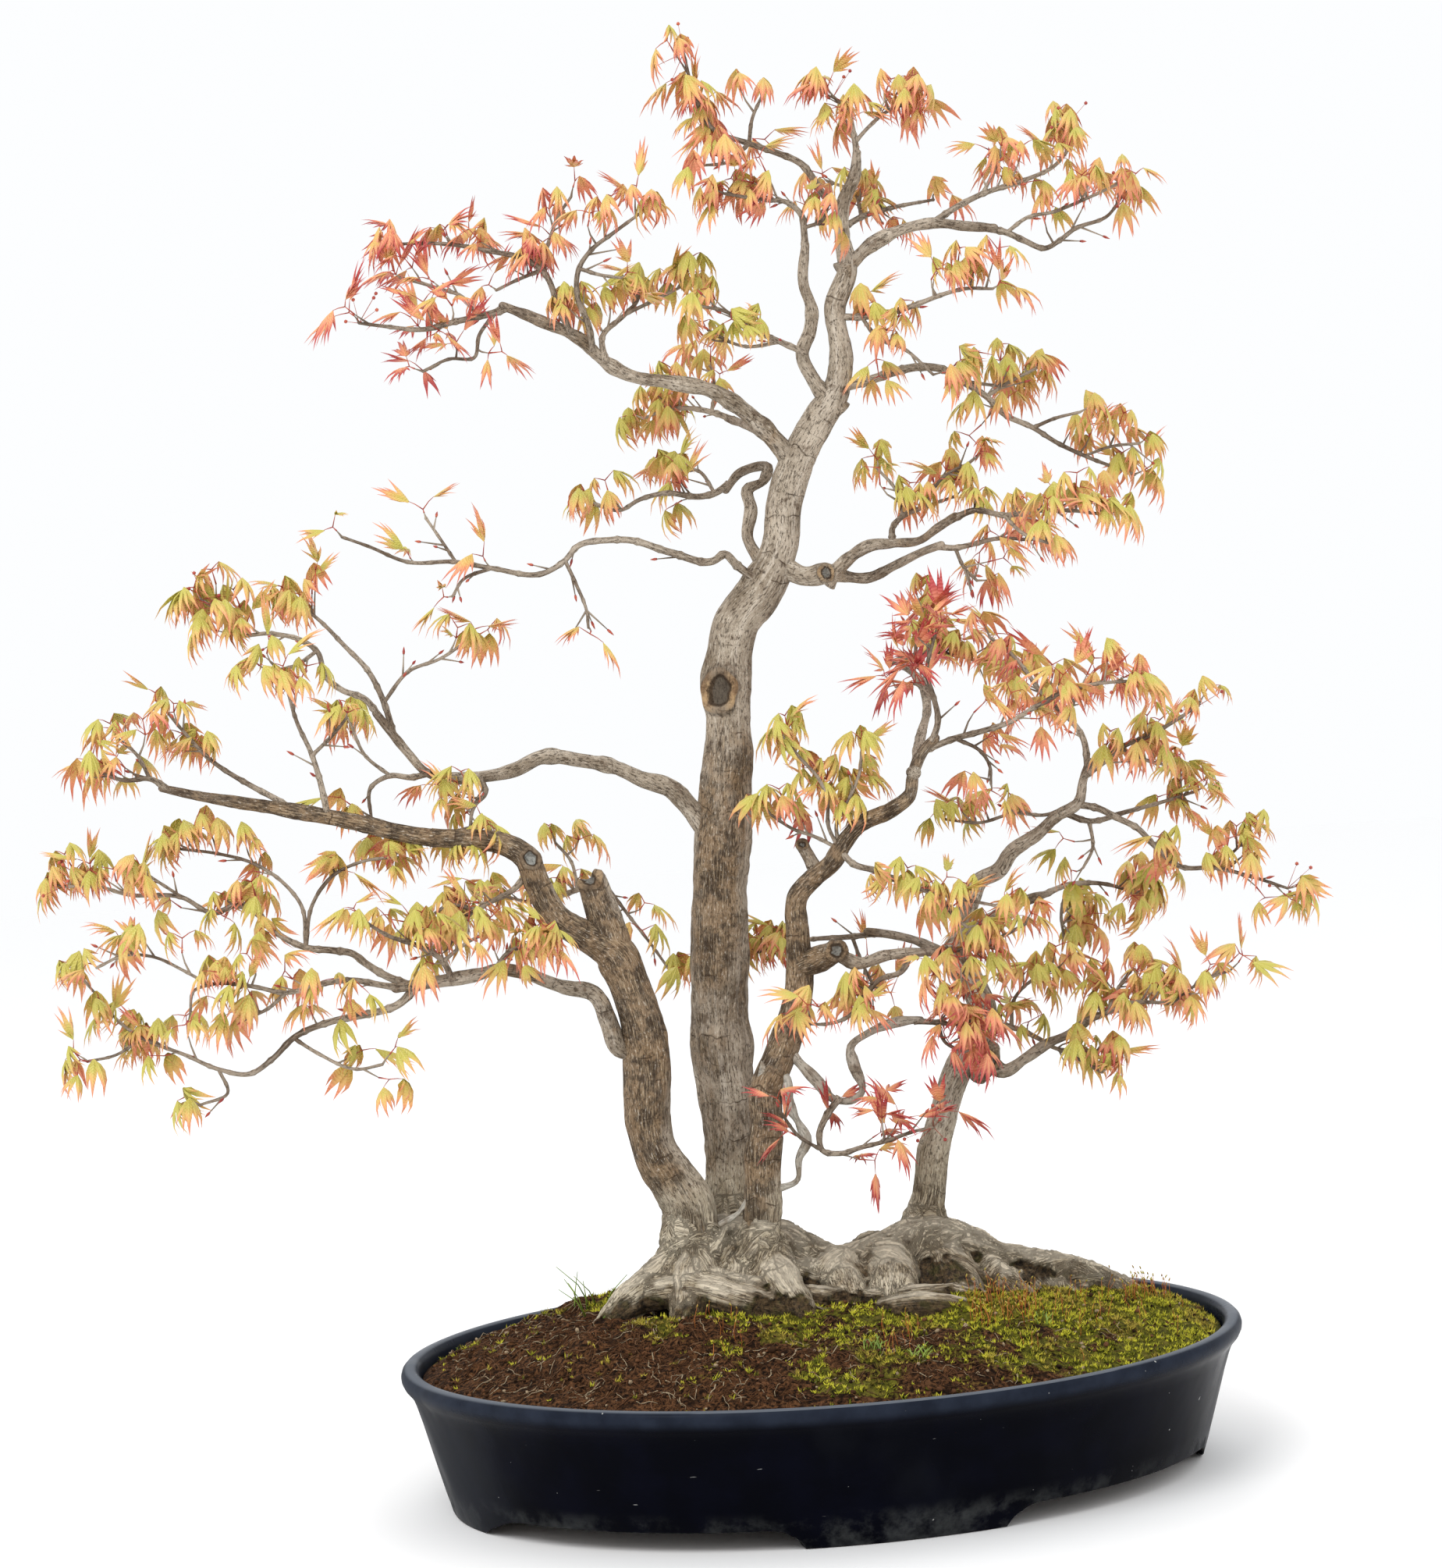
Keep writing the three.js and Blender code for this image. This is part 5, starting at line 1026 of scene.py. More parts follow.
# Fine fissures follow the grain of the old wood, and thin creases ring the trunks.
flow = grain(stretched(along_bark, (1, 1, 0.06)), 0.4, 5, 0.62, 0.4)
fissures = spread(maths("ABSOLUTE", minus(flow, 0.5)), 0.004, 0.045, 1, 0)
fissures = times(fissures, spread(age, 0.55, 1.0, 0.0, 0.9))
colour = blend_colour(times(fissures, 0.8), colour, (0.055, 0.034, 0.02))
along_only = add("ShaderNodeSeparateXYZ", {0: along_bark}).outputs["Z"]
waver = grain(stretched(along_bark, (1, 1, 0.5)), 0.035, 3, 0.6)
ring_phase = plus(times(along_only, 0.075), times(waver, 1.8))
ring_phase = minus(maths("FRACT", ring_phase), 0.5)
creases = spread(maths("ABSOLUTE", ring_phase), 0.006, 0.05, 1, 0)
crease_mask = spread(grain(stretched(along_bark, (1, 1, 1.6)), 0.05, 4, 0.65), 0.47, 0.66)
creases = times(creases, crease_mask)
creases = times(creases, spread(young, 0.2, 0.8, 1, 0.2))
creases = times(creases, spread(hollow, 0.02, 0.05, 1, 0.3))
colour = blend_colour(times(creases, 0.82), colour, (0.06, 0.036, 0.02))
rings = grain(stretched(along_bark, (0.12, 0.12, 1)), 0.36, 5, 0.62, 0.5)
# Twigs are darker, and some branches are pale with lichen.
twiggy = between(patches, 0.35, 0.65, (0.1, 0.065, 0.045), (0.34, 0.275, 0.21))
colour = blend_colour(times(young, 0.75), colour, twiggy)
lichen = between(blotches, 0.4, 0.65, (0.56, 0.53, 0.46), (0.3, 0.25, 0.19))
colour = blend_colour(times(pale, 0.8), colour, lichen)
# A scar has a dark rim, a lip that is tan where it is fresh, and a brown or grey cut face.
frayed = plus(scar, times(minus(blotches, 0.5), 0.3))
colour = layered(colour, (frayed, 0.1, 0.2, 0.5, (0.06, 0.038, 0.022)))
lip_skin = between(blotches, 0.4, 0.6, (0.26, 0.2, 0.14), (0.13, 0.09, 0.058))
fresh_skin = between(blotches, 0.42, 0.6, (0.5, 0.33, 0.17), (0.22, 0.13, 0.065))
lip_skin = blend_colour(tan, lip_skin, fresh_skin)
colour = layered(
    colour,
    (frayed, 0.26, 0.34, 0.9, lip_skin), (frayed, 0.56, 0.64, 0.92, (0.04, 0.025, 0.015)),
)
cut_face = blend_colour(grey, (0.085, 0.06, 0.038), (0.29, 0.29, 0.265))
cut_face = layered(cut_face, (blotches, 0.46, 0.64, 0.6, (0.035, 0.024, 0.016)))
colour = layered(colour, (frayed, 0.68, 0.76, 1, cut_face))
# Crests and tops of the root base get a painted highlight, hollows a dark crumbly painted shade; peat clings
# to its foot.
painted_crest_highlight = layered(colour, (hollow, -0.12, -0.65, 0.6, (0.78, 0.69, 0.54)))
crumbly = grain(where, 300, 5, 0.7)
painted_cave_shade = layered(
    between(crumbly, 0.38, 0.64, (0.012, 0.007, 0.004), (0.15, 0.095, 0.045)),
    (blotches, 0.5, 0.62, 0.5, (0.075, 0.078, 0.018)),
)
colour = layered(painted_crest_highlight, (hollow, 0.1, 1.0, 0.95, painted_cave_shade))
low = spread(add("ShaderNodeSeparateXYZ", {0: where}).outputs["Z"], 0.128, 0.108)
earthy = times(low, spread(stains, 0.4, 0.58))
colour = blend_colour(times(earthy, 0.8), colour, (0.075, 0.043, 0.02))
paint(colour)
paint(spread(blotches, 0.3, 0.7, 0.72, 0.92), "Roughness")
aged_streaks = times(fine_streaks, spread(age, 0.3, 1.0, 0.35, 1.1))
bark_height = plus(aged_streaks, times(rings, 0.7))
for groove, share in ((fissures, 0.5), (creases, 0.5), (dark_flecks, 0.7)):
    bark_height = minus(bark_height, times(groove, share))
raise_bumps(plus(bark_height, times(blotches, 0.5)), 0.0014, 0.85)
trunks = wood.piece("trunks_and_branches", [bark])
coat(root_base, bark)
for piece in (root_base, trunks):
    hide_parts("wood")
    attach(piece, "root")

# Moss: cushions of short upright shoots that cover the peat on the right and thin out towards the left.
# Each tuft is a few pointed blades standing in the soil.
MOSS_TUFTS, BLADES_PER_TUFT = 8200, 5
draw = random.Random(7)
root_cover = BVHTree.FromPolygons(
    [vertex.co.copy() for vertex in root_base.data.vertices],
    [tuple(face.vertices) for face in root_base.data.polygons],
)


def clear_of_roots(spots):
    # Those of the places, which are rows in metres, that no root covers.
    down = Vector((0, 0, -1))
    hits = [root_cover.ray_cast(Vector((*spot[:2], 0.3)), down, 0.3)[0] for spot in spots]
    return np.array([hit is None or hit.z < spot[2] + 0.0005 for hit, spot in zip(hits, spots)], bool)


def scattered(count, reach, seed, chance_at):
    # Places on the soil, as rows in metres, where a rule of the place allows them and no root covers them.
    dice = np.random.default_rng(seed)
    kept = np.empty((0, 3))
    while len(kept) < count:
        turn, share = dice.uniform(0, 2 * math.pi, 4000), np.sqrt(dice.random(4000)) * reach
        x, y = share * np.cos(turn) * SOIL_RADIUS, share * np.sin(turn) * SOIL_RADIUS * oval(SOIL_EDGE)
        allowed = dice.random(4000) < chance_at(x, y)
        x, y = x[allowed], y[allowed]
        spots = to_metres(x, y, soil_height(x, y))
        kept = np.concatenate([kept, spots[clear_of_roots(spots)]])
    return kept[:count]


def on_soil(across, down):
    # The place on the soil that the front view shows at a point of its sheet, in metres.
    ray = np.array([tuple(place(across, down, depth)) for depth in np.arange(-235.0, 235.0, 3.0)])
    x, y = (ray[:, 0] - POT_MIDDLE.x) / MM, (ray[:, 1] - POT_MIDDLE.y) / MM
    in_pot = np.hypot(x / SOIL_RADIUS, y / (SOIL_RADIUS * oval(SOIL_EDGE))) < 0.965
    under = np.nonzero((ray[:, 2] / MM < soil_height(x, y)) & in_pot)[0]
    return ray[under[0]] if len(under) and clear_of_roots(ray[under[:1]])[0] else None


def blade(gathering, root, tip, half_width, **marks):
    # A pointed three-sided blade from its root to its tip.
    heading = (tip - root).normalized()
    side = heading.orthogonal().normalized()
    turn = Matrix.Rotation(2 * math.pi / 3, 3, heading)
    corners = [root + spoke * half_width for spoke in (side, turn @ side, turn @ turn @ side)]
    gathering.take([*corners, tip], [(0, 2, 1), (0, 1, 3), (1, 2, 3), (2, 0, 3)], **marks)


moss = Gathering()
for spot in scattered(MOSS_TUFTS, 0.985, 71, lambda x, y: np.clip((moss_share(x, y) - 0.3) / 0.34, 0.03, 1)):
    root = Vector(spot) - Vector((0, 0, 0.8 * MM))
    tone = draw.random()
    tall = draw.uniform(1.8, 4.8) * MM
    for _ in range(BLADES_PER_TUFT):
        lean = Vector((draw.gauss(0, 0.55), draw.gauss(0, 0.55), 1)).normalized()
        shift = Vector((draw.gauss(0, 0.7), draw.gauss(0, 0.7), 0)) * MM
        blade(moss, root + shift, root + shift + lean * tall * draw.uniform(0.7, 1.15), 0.62 * MM,
              tone=min(1.0, max(0.0, tone + draw.gauss(0, 0.15))))
moss_leaf = begin_material("moss_shoots", 0.85, 0.15)
where = object_place()
tone = point_value("tone")
patch = spread(grain(where, 30, 4), 0.35, 0.65)
fresh = blend_colour(tone, (0.055, 0.065, 0.004), (0.68, 0.64, 0.055))
dry = blend_colour(tone, (0.09, 0.055, 0.012), (0.46, 0.32, 0.07))
paint(blend_colour(spread(patch, 0.5, 1.0, 0, 0.75), fresh, dry))
raise_bumps(grain(where, 800, 2), 0.0003, 0.4)
moss_piece = moss.piece("moss_tufts", [moss_leaf])
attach(moss_piece, "root")

# Loose bits: crumbs of peat and grit, and a felt of fine dead roots that is pale at the left. They lie on the
# soil and in the moss, and nothing holds them.
CRUMBS, FIBRES = 1900, 1900
bits = Gathering()
ball = [
    (0, 0, -1), (0.72, -0.53, -0.45), (-0.28, -0.85, -0.45), (-0.89, 0, -0.45), (-0.28, 0.85, -0.45),
    (0.72, 0.53, -0.45), (0.28, -0.85, 0.45), (-0.72, -0.53, 0.45), (-0.72, 0.53, 0.45),
    (0.28, 0.85, 0.45), (0.89, 0, 0.45), (0, 0, 1),
]
ball_faces = [
    (0, 2, 1), (0, 3, 2), (0, 4, 3), (0, 5, 4), (0, 1, 5), (1, 2, 6), (2, 3, 7), (3, 4, 8), (4, 5, 9),
    (5, 1, 10), (6, 2, 7), (7, 3, 8), (8, 4, 9), (9, 5, 10), (10, 1, 6), (11, 6, 7), (11, 7, 8),
    (11, 8, 9), (11, 9, 10), (11, 10, 6),
]
for spot in scattered(CRUMBS, 0.98, 72, lambda x, y: np.ones_like(x)):
    size = draw.uniform(0.6, 1.9) * MM * (1.5 if draw.random() < 0.08 else 1)
    spin = Matrix.Rotation(draw.uniform(0, 6.28), 3, Vector((draw.gauss(0, 1), draw.gauss(0, 1), 1)))
    shape = Matrix.Diagonal((draw.uniform(0.7, 1.3), draw.uniform(0.6, 1.1), draw.uniform(0.5, 0.9)))
    middle = Vector(spot) + Vector((0, 0, size * 0.35))
    rough = [middle + spin @ (shape @ Vector(corner)) * size * draw.uniform(0.8, 1.15) for corner in ball]
    bits.take(rough, ball_faces, tone=draw.choice((0.05, 0.1, 0.15, 0.2, 0.3, 0.45, 0.8)))


def tube(gathering, line, radius, sides=4, slot=0, **marks):
    # A thin tube along points, narrowing to its tip.
    rows = np.array([[*point, radius * (1 - 0.6 * i / (len(line) - 1))] for i, point in enumerate(line)])
    points, faces, _ = sweep(rows, sides)
    gathering.take(points, faces, slot, **marks)


starts = scattered(FIBRES, 0.93, 73, lambda x, y: np.clip(1 - 1.25 * moss_share(x, y), 0, 1))
dice = np.random.default_rng(74)
x, y = (starts[:, 0] - POT_MIDDLE.x) / MM, (starts[:, 1] - POT_MIDDLE.y) / MM
heading = dice.uniform(0, 2 * math.pi, FIBRES)
trails = []
for step in range(6):
    trails.append(to_metres(x, y, soil_height(x, y) + dice.uniform(-0.2, 0.9, FIBRES)))
    heading = heading + dice.normal(0, 0.55, FIBRES)
    x, y = x + 2.9 * np.cos(heading), y + 2.9 * np.sin(heading)
for line in np.stack(trails, axis=1):
    tube(bits, line, draw.uniform(0.2, 0.55) * MM, 3, tone=draw.choice((0.2, 0.3, 0.4, 0.5, 0.6, 0.9)))
bit_stuff = begin_material("peat_bits", 0.9, 0.1)
tone = point_value("tone")
where = object_place()
dark = between(tone, 0, 0.5, (0.02, 0.01, 0.005), (0.17, 0.075, 0.034))
colour = between(tone, 0.5, 1.0, dark, (0.5, 0.4, 0.26))
mottle = spread(grain(where, 700, 3), 0.3, 0.7, 0.55, 1.0)
paint(blend_colour(mottle, (0.01, 0.006, 0.004), colour))
raise_bumps(grain(where, 900, 3), 0.0004, 0.5)
bit_piece = bits.piece("soil_bits", [bit_stuff])
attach(bit_piece, "root")

# Spore stalks and grass: wiry orange stalks with nodding capsules that rise from the moss, and a few blades
# of young grass. They root in the moss and the peat.
upright = Gathering()


def spore_stalk(root, tall):
    lean = Vector((draw.gauss(0, 0.12), draw.gauss(0, 0.12), 1)).normalized()
    bend = Vector((draw.gauss(0, 1), draw.gauss(0, 1), 0)) * 0.0009
    tip = root + lean * tall + bend
    tube(upright, [root - Vector((0, 0, 0.001)), root + lean * tall * 0.5 - bend * 0.4, tip], 0.24 * MM, 3, 0)
    nod = (lean + Vector((draw.gauss(0, 0.5), draw.gauss(0, 0.5), -0.2))).normalized()
    capsule = np.array([
        [*(tip + nod * reach * MM), radius * MM]
        for reach, radius in ((0, 0.2), (0.6, 0.5), (1.7, 0.42), (2.4, 0.12))
    ])
    points, faces, _ = sweep(capsule, 5)
    upright.take(points, faces, 1)


# Beds on the front view's sheet: (left, right), (upper, lower), how many, and how tall the grass is.
STALK_BEDS = [
    ((620, 665), (820, 850), 90), ((720, 752.5), (820, 834), 60), ((560, 590), (850, 870), 14),
    ((670, 710), (830, 850), 20), ((440, 480), (845, 870), 10),
]
GRASS_BEDS = [
    ((367.5, 387.5), (834, 845), 9, 26), ((552.5, 565), (861, 867.5), 12, 9),
    ((584, 595), (867.5, 874), 12, 9), ((280, 300), (859, 867.5), 8, 8), ((665, 675), (845, 850), 8, 8),
]


def bed_places(beds):
    # Places on the soil in each bed, and what else the bed's row says.
    for (left, right), (upper, lower), count, *others in beds:
        for _ in range(count):
            spot = on_soil(draw.uniform(left, right), draw.uniform(upper, lower))
            if spot is not None:
                yield Vector(spot), *others


for root, in bed_places(STALK_BEDS):
    spore_stalk(root, draw.uniform(8, 14) * MM)
for spot in scattered(60, 0.93, 75, lambda x, y: moss_share(x, y) > 0.62):
    spore_stalk(Vector(spot), draw.uniform(7, 12) * MM)
for root, tall in bed_places(GRASS_BEDS):
    lean = Vector((draw.gauss(0, 0.45), draw.gauss(0, 0.45), 1)).normalized()
    high = tall * draw.uniform(0.6, 1.1) * MM
    droop = Vector((lean.x, lean.y, 0)) * high * 0.5
    line = [root - Vector((0, 0, 0.001)), root + lean * high * 0.5, root + lean * high + droop]
    tube(upright, line, 0.55 * MM, 4, 2)
stalk = plain_skin("spore_stalks", 0.5, 250, 2, (0.42, 0.09, 0.015), (0.6, 0.2, 0.035))
capsule_skin = plain_skin("spore_capsules", 0.45, 300, 2, (0.36, 0.15, 0.02), (0.42, 0.36, 0.06))
grass = plain_skin("young_grass", 0.45, 120, 3, (0.12, 0.22, 0.03), (0.3, 0.4, 0.06), 700, 0.0002)
stalk_piece = upright.piece("stalks_and_grass", [stalk, capsule_skin, grass])
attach(stalk_piece, "root")

# The sprays: leafy twigs that start in the branches, each one piece of its own. A twig's rows read:
# name, shoots, the bare share at its start, ripeness, openness, depth at both ends, radius, path, and
# offshoots (station, depth, path).
SPRAYS = [
    ("top_left", 11, 0.3, 0.62, 0.6, (0, -40), 2.6, [(540, 134), (531, 128), (512, 104), (498, 98),
        (480, 92), (456, 82), (445, 61), (438, 34)],
     [(4, -44, [(466, 104), (450, 106)]), (4, -30, [(482, 76), (488, 62)])]),
    ("top_leader", 11, 0.14, 0.6, 0.65, (0, 2), 2.3, [(549, 102), (548, 91), (547, 86), (543, 71),
        (534, 62)],
     [(1, 14, [(556, 82), (569, 71), (585, 64)])]),
    ("top_fork", 9, 0.14, 0.6, 0.6, (-20, -46), 2.4, [(516, 163), (515, 146), (514, 139), (505, 130),
        (489, 128), (464, 124)],
     [(1, -34, [(527, 141), (531, 131)])]),
    ("top_back", 9, 0.14, 0.55, 0.6, (0, 62), 2.2, [(540, 146), (552, 139), (572, 133), (598, 128)],
     [(1, 58, [(548, 124), (530, 116)])]),
    ("right_top_outer", 9, 0.45, 0.55, 0.5, (18, 30), 2.3, [(630, 146), (645, 149), (656, 154),
        (670, 159), (679, 154), (688, 147), (710, 138), (719, 126)],
     [(1, -14, [(659, 139), (674, 136), (692, 129), (716, 118)])]),
    ("right_top_inner", 9, 0.4, 0.55, 0.55, (12, 36), 2.2, [(597, 143), (614, 132), (630, 124),
        (655, 116), (678, 104), (685, 93), (682, 82)],
     [(2, 24, [(637, 109), (641, 100)])]),
    ("left_top_tip", 11, 0.35, 0.82, 0.3, (-37, -62), 2.4, [(326, 197), (318, 200), (306, 203),
        (292, 206), (272, 211), (246, 209), (230, 207)],
     [(1, -52, [(307, 215), (304, 229), (288, 230), (271, 238)]),
      (2, -30, [(296, 190), (282, 185), (257, 178)])]),
    ("left_top_upper", 11, 0.14, 0.75, 0.5, (-33, -10), 2.2, [(366, 213), (360, 202), (347, 173),
        (336, 166), (314, 161), (292, 157), (263, 156), (251, 157)],
     [(2, -6, [(330, 180), (318, 186)]), (2, -12, [(352, 154), (358, 138), (366, 126)])]),
    ("left_top_inner", 5, 0.14, 0.6, 0.7, (-30, -56), 2.2, [(380, 225), (377, 208), (370, 190),
        (371, 172), (379, 160), (392, 150), (411, 136)],
     [(3, -58, [(384, 176), (398, 178)])]),
    ("left_top_centre", 6, 0.14, 0.4, 0.9, (-28, 8), 2.2, [(388, 232), (386, 216), (401, 201),
        (409, 191), (407, 181)],
     [(2, -8, [(416, 194), (436, 184)])]),
    ("mid_crown", 5, 0.3, 0.35, 0.8, (-12, -50), 2.2, [(516, 226), (500, 219), (480, 210), (466, 200),
        (448, 196)],
     [(1, 20, [(478, 222), (456, 214)])]),
    ("back_left", 7, 0.14, 0.45, 0.9, (62, 40), 2.4, [(467, 310), (458, 316), (450, 318), (426, 316),
        (410, 320), (397, 327), (380, 322)],
     [(1, 86, [(448, 302), (429, 301)])]),
    ("back_top", 9, 0.14, 0.45, 0.8, (100, 132), 2.3, [(470, 269), (456, 264), (430, 262), (412, 268)],
     [(1, 140, [(458, 248), (456, 236)])]),
    ("long_left", 2, 0.5, 0.5, 0.4, (2, -62), 2.8, [(488, 374), (472, 362), (464, 355), (458, 359),
        (430, 354), (403, 346), (390, 346), (370, 350), (362, 359), (349, 367), (315, 364), (292, 360),
        (261, 360), (236, 350), (219, 344)],
     [(8, -44, [(369, 374), (376, 392), (377, 402)]), (10, -52, [(296, 372), (290, 382)]),
      (11, -30, [(284, 348), (273, 332)])]),
    ("left_mid_tip", 9, 0.66, 0.45, 0.7, (-42, -66), 2.2, [(243, 459), (234, 448), (219, 442),
        (209, 434), (203, 417), (195, 411), (176, 406), (148, 405), (140, 392), (129, 384)],
     [(4, -78, [(190, 426), (172, 430)])]),
    ("left_mid_upper", 6, 0.72, 0.45, 0.75, (-38, -2), 2.2, [(252, 470), (246, 450), (236, 430),
        (221, 414), (203, 396), (186, 384)],
     [(1, -24, [(262, 430), (282, 422), (299, 411)])]),
    ("left_mid_lower", 3, 0.6, 0.42, 0.8, (-34, -30), 2.2, [(276, 495), (264, 498), (250, 497),
        (238, 504), (238, 526)],
     [(2, -6, [(234, 484), (224, 462)])]),
    ("left_mid_under", 7, 0.14, 0.45, 0.7, (-24, -46), 2, [(308, 498), (311, 508), (304, 516),
        (301, 534)], []),
    ("left_end", 5, 0.14, 0.5, 0.6, (-66, -80), 2.2, [(110, 507), (96, 499), (80, 500), (62, 494)],
     [(1, -58, [(88, 484), (74, 472)])]),
    ("left_shoulder", 4, 0.55, 0.45, 0.7, (-65, -42), 2.2, [(190, 520), (177, 512), (162, 504),
        (134, 486), (117, 468), (106, 455)], []),
    ("left_rise", 2, 0.75, 0.45, 0.75, (-64, -92), 2.2, [(210, 523), (206, 504), (200, 484),
        (190, 462), (183, 437)],
     [(2, -96, [(214, 470), (222, 460)])]),
    ("low_left_hook", 13, 0.14, 0.5, 0.7, (-80, -114), 2.2, [(258, 633), (244, 631), (226, 628),
        (208, 630), (183, 636), (162, 632), (134, 631), (124, 635), (122, 648)],
     [(4, -92, [(172, 646), (160, 652)]), (6, -106, [(118, 622), (98, 613), (80, 612), (62, 620)])]),
    ("low_left_tip", 24, 0.3, 0.45, 0.75, (-76, -54), 2.6, [(262, 631), (247, 625), (234, 617),
        (226, 611), (214, 609), (196, 607), (178, 598), (168, 588), (152, 580), (137, 585), (117, 575),
        (81, 573), (63, 568), (40, 568)],
     [(5, -44, [(193, 580), (182, 566), (162, 553), (140, 547), (116, 544)]),
      (5, -56, [(200, 580), (212, 562), (232, 552), (252, 549)]), (10, -76, [(100, 564), (88, 556)])]),
    ("low_left_under", 13, 0.14, 0.42, 0.8, (-80, -60), 2.6, [(268, 631), (256, 643), (234, 650),
        (214, 654), (188, 665), (175, 678), (160, 688), (140, 685), (119, 676), (91, 665), (76, 655)],
     [(4, -92, [(204, 675), (229, 685), (245, 682)]), (10, -60, [(64, 640), (52, 626)]),
      (9, -64, [(74, 676), (56, 680)]), (7, -70, [(146, 700), (128, 708)])]),
    ("low_left_inner", 7, 0.14, 0.45, 0.7, (-78, -104), 2.2, [(290, 628), (284, 616), (268, 606),
        (250, 600), (230, 588)],
     [(1, -98, [(296, 606), (310, 598)])]),
    ("low_left_side", 7, 0.14, 0.5, 0.6, (-68, -98), 2, [(318, 622), (324, 612), (336, 606), (348, 606)], []),
    ("mid_left", 9, 0.14, 0.45, 0.75, (-56, -44), 2.2, [(340, 556), (331, 568), (306, 583), (291, 600),
        (287, 608)],
     [(2, -66, [(288, 580), (272, 590)])]),
    ("back_low_left", 9, 0.14, 0.45, 0.8, (126, 150), 2.3, [(386, 564), (370, 570), (342, 578),
        (322, 574)],
     [(0, 100, [(404, 588), (418, 606), (428, 620)]), (1, 156, [(366, 552), (356, 540)])]),
    ("centre_rise", 9, 0.14, 0.88, 0.35, (-60, -84), 2.2, [(597, 476), (601, 462), (598, 446),
        (594, 432), (599, 407)],
     [(2, -52, [(586, 438), (574, 440)])]),
    ("centre_right", 13, 0.14, 0.62, 0.55, (-57, -92), 2.2, [(592, 481), (612, 473), (627, 469),
        (646, 463), (665, 452), (684, 442), (703, 438), (728, 436)],
     [(1, -50, [(629, 482), (634, 490), (635, 502)])]),
    ("centre_knob", 9, 0.14, 0.55, 0.6, (-54, -72), 2.2, [(602, 609), (616, 608), (630, 605),
        (642, 600), (657, 592)],
     [(1, -90, [(618, 622), (612, 636)])]),
    ("centre_hanging", 6, 0.14, 0.5, 0.6, (-48, -84), 2, [(584, 610), (578, 622), (563, 628),
        (554, 638), (544, 651), (530, 656), (518, 656)], []),
    ("centre_green", 18, 0.35, 0.45, 0.8, (-40, -92), 2.2, [(538, 544), (546, 553), (562, 558),
        (581, 567), (603, 573), (637, 580)],
     [(0, -62, [(531, 530), (530, 512), (524, 498), (514, 487), (503, 474)]),
      (0, -48, [(536, 528), (545, 510), (551, 494), (552, 482)]),
      (0, -30, [(522, 536), (508, 531), (494, 522)]), (4, -80, [(612, 588), (620, 594)])]),
    ("low_centre", 7, 0.14, 0.95, 0.28, (-46, -78), 2.4, [(538, 703), (529, 716), (525, 727),
        (527, 737), (538, 739), (552, 735), (568, 731), (585, 725), (598, 722)],
     [(3, -84, [(512, 728), (500, 712)])]),
    ("low_centre_right", 9, 0.14, 0.78, 0.45, (-61, -74), 2.2, [(586, 654), (600, 655), (612, 656),
        (626, 653)],
     [(1, -80, [(606, 668), (618, 674)])]),
    ("right_fork_left", 9, 0.14, 0.6, 0.5, (-8, 22), 2.2, [(697, 492), (694, 473), (684, 459),
        (672, 449), (650, 421), (634, 408)],
     [(2, 24, [(690, 446), (700, 436)])]),
    ("right_fork_outer", 8, 0.14, 0.5, 0.6, (-7, -36), 2.2, [(694, 498), (706, 489), (718, 479),
        (737, 471), (751, 463), (768, 452)],
     [(2, -6, [(732, 486), (746, 490)])]),
    ("far_right", 14, 0.35, 0.45, 0.7, (-3, -24), 2.4, [(688, 515), (704, 518), (716, 524), (728, 530),
        (741, 543), (756, 555), (779, 556), (800, 561), (825, 569)],
     [(0, 22, [(670, 522), (650, 521), (628, 527), (606, 525)]), (6, -4, [(790, 546), (800, 536)])]),
    ("right_shoulder", 7, 0.14, 0.45, 0.75, (0, 40), 2.2, [(680, 520), (698, 526), (722, 520),
        (744, 514), (766, 507)],
     [(1, 24, [(700, 544), (694, 556)])]),
    ("low_right_tip", 14, 0.14, 0.5, 0.65, (-11, -30), 2.4, [(696, 654), (710, 648), (722, 643),
        (736, 642), (751, 643)],
     [(1, 6, [(716, 634), (726, 620)]), (4, -34, [(762, 634), (776, 626), (788, 622)])]),
    ("low_right_under", 11, 0.14, 0.48, 0.7, (28, 0), 2.4, [(630, 656), (648, 658), (665, 665),
        (675, 671), (703, 673)],
     [(1, 0, [(650, 640), (661, 628), (678, 620)]), (3, -14, [(692, 679), (706, 687)])]),
    ("back_centre", 9, 0.14, 0.5, 0.7, (56, 84), 2.2, [(562, 598), (546, 600), (518, 602), (499, 606),
        (486, 610)],
     [(1, 60, [(552, 616), (560, 632)])]),
    ("back_right", 9, 0.4, 0.45, 0.8, (108, 130), 2.3, [(667, 574), (684, 567), (706, 566), (728, 572)],
     [(1, 146, [(680, 586), (682, 602)])]),
    ("back_high_right", 11, 0.14, 0.5, 0.8, (119, 150), 2.4, [(570, 425), (586, 420), (614, 420),
        (638, 428)],
     [(1, 154, [(590, 402), (596, 388)])]),
    ("right_high_tip", 11, 0.14, 0.5, 0.65, (-45, -68), 2.2, [(608, 334), (624, 327), (643, 330),
        (668, 327), (685, 327), (710, 330)],
     [(2, -84, [(656, 342), (672, 348)])]),
    ("right_high_bare", 7, 0.35, 0.6, 0.45, (8, 22), 2.2, [(599, 350), (612, 351), (622, 349),
        (639, 345), (661, 346)],
     [(1, 26, [(618, 364), (626, 372)])]),
    ("right_high_back", 7, 0.14, 0.5, 0.7, (-26, 46), 2.2, [(572, 348), (572, 338), (578, 331),
        (592, 325), (612, 318)],
     [(2, 20, [(574, 314), (562, 300)]), (3, 34, [(604, 306), (622, 296)])]),
    ("right_upper", 13, 0.3, 0.48, 0.7, (0, 74), 3.2, [(537, 249), (559, 243), (574, 238), (590, 235),
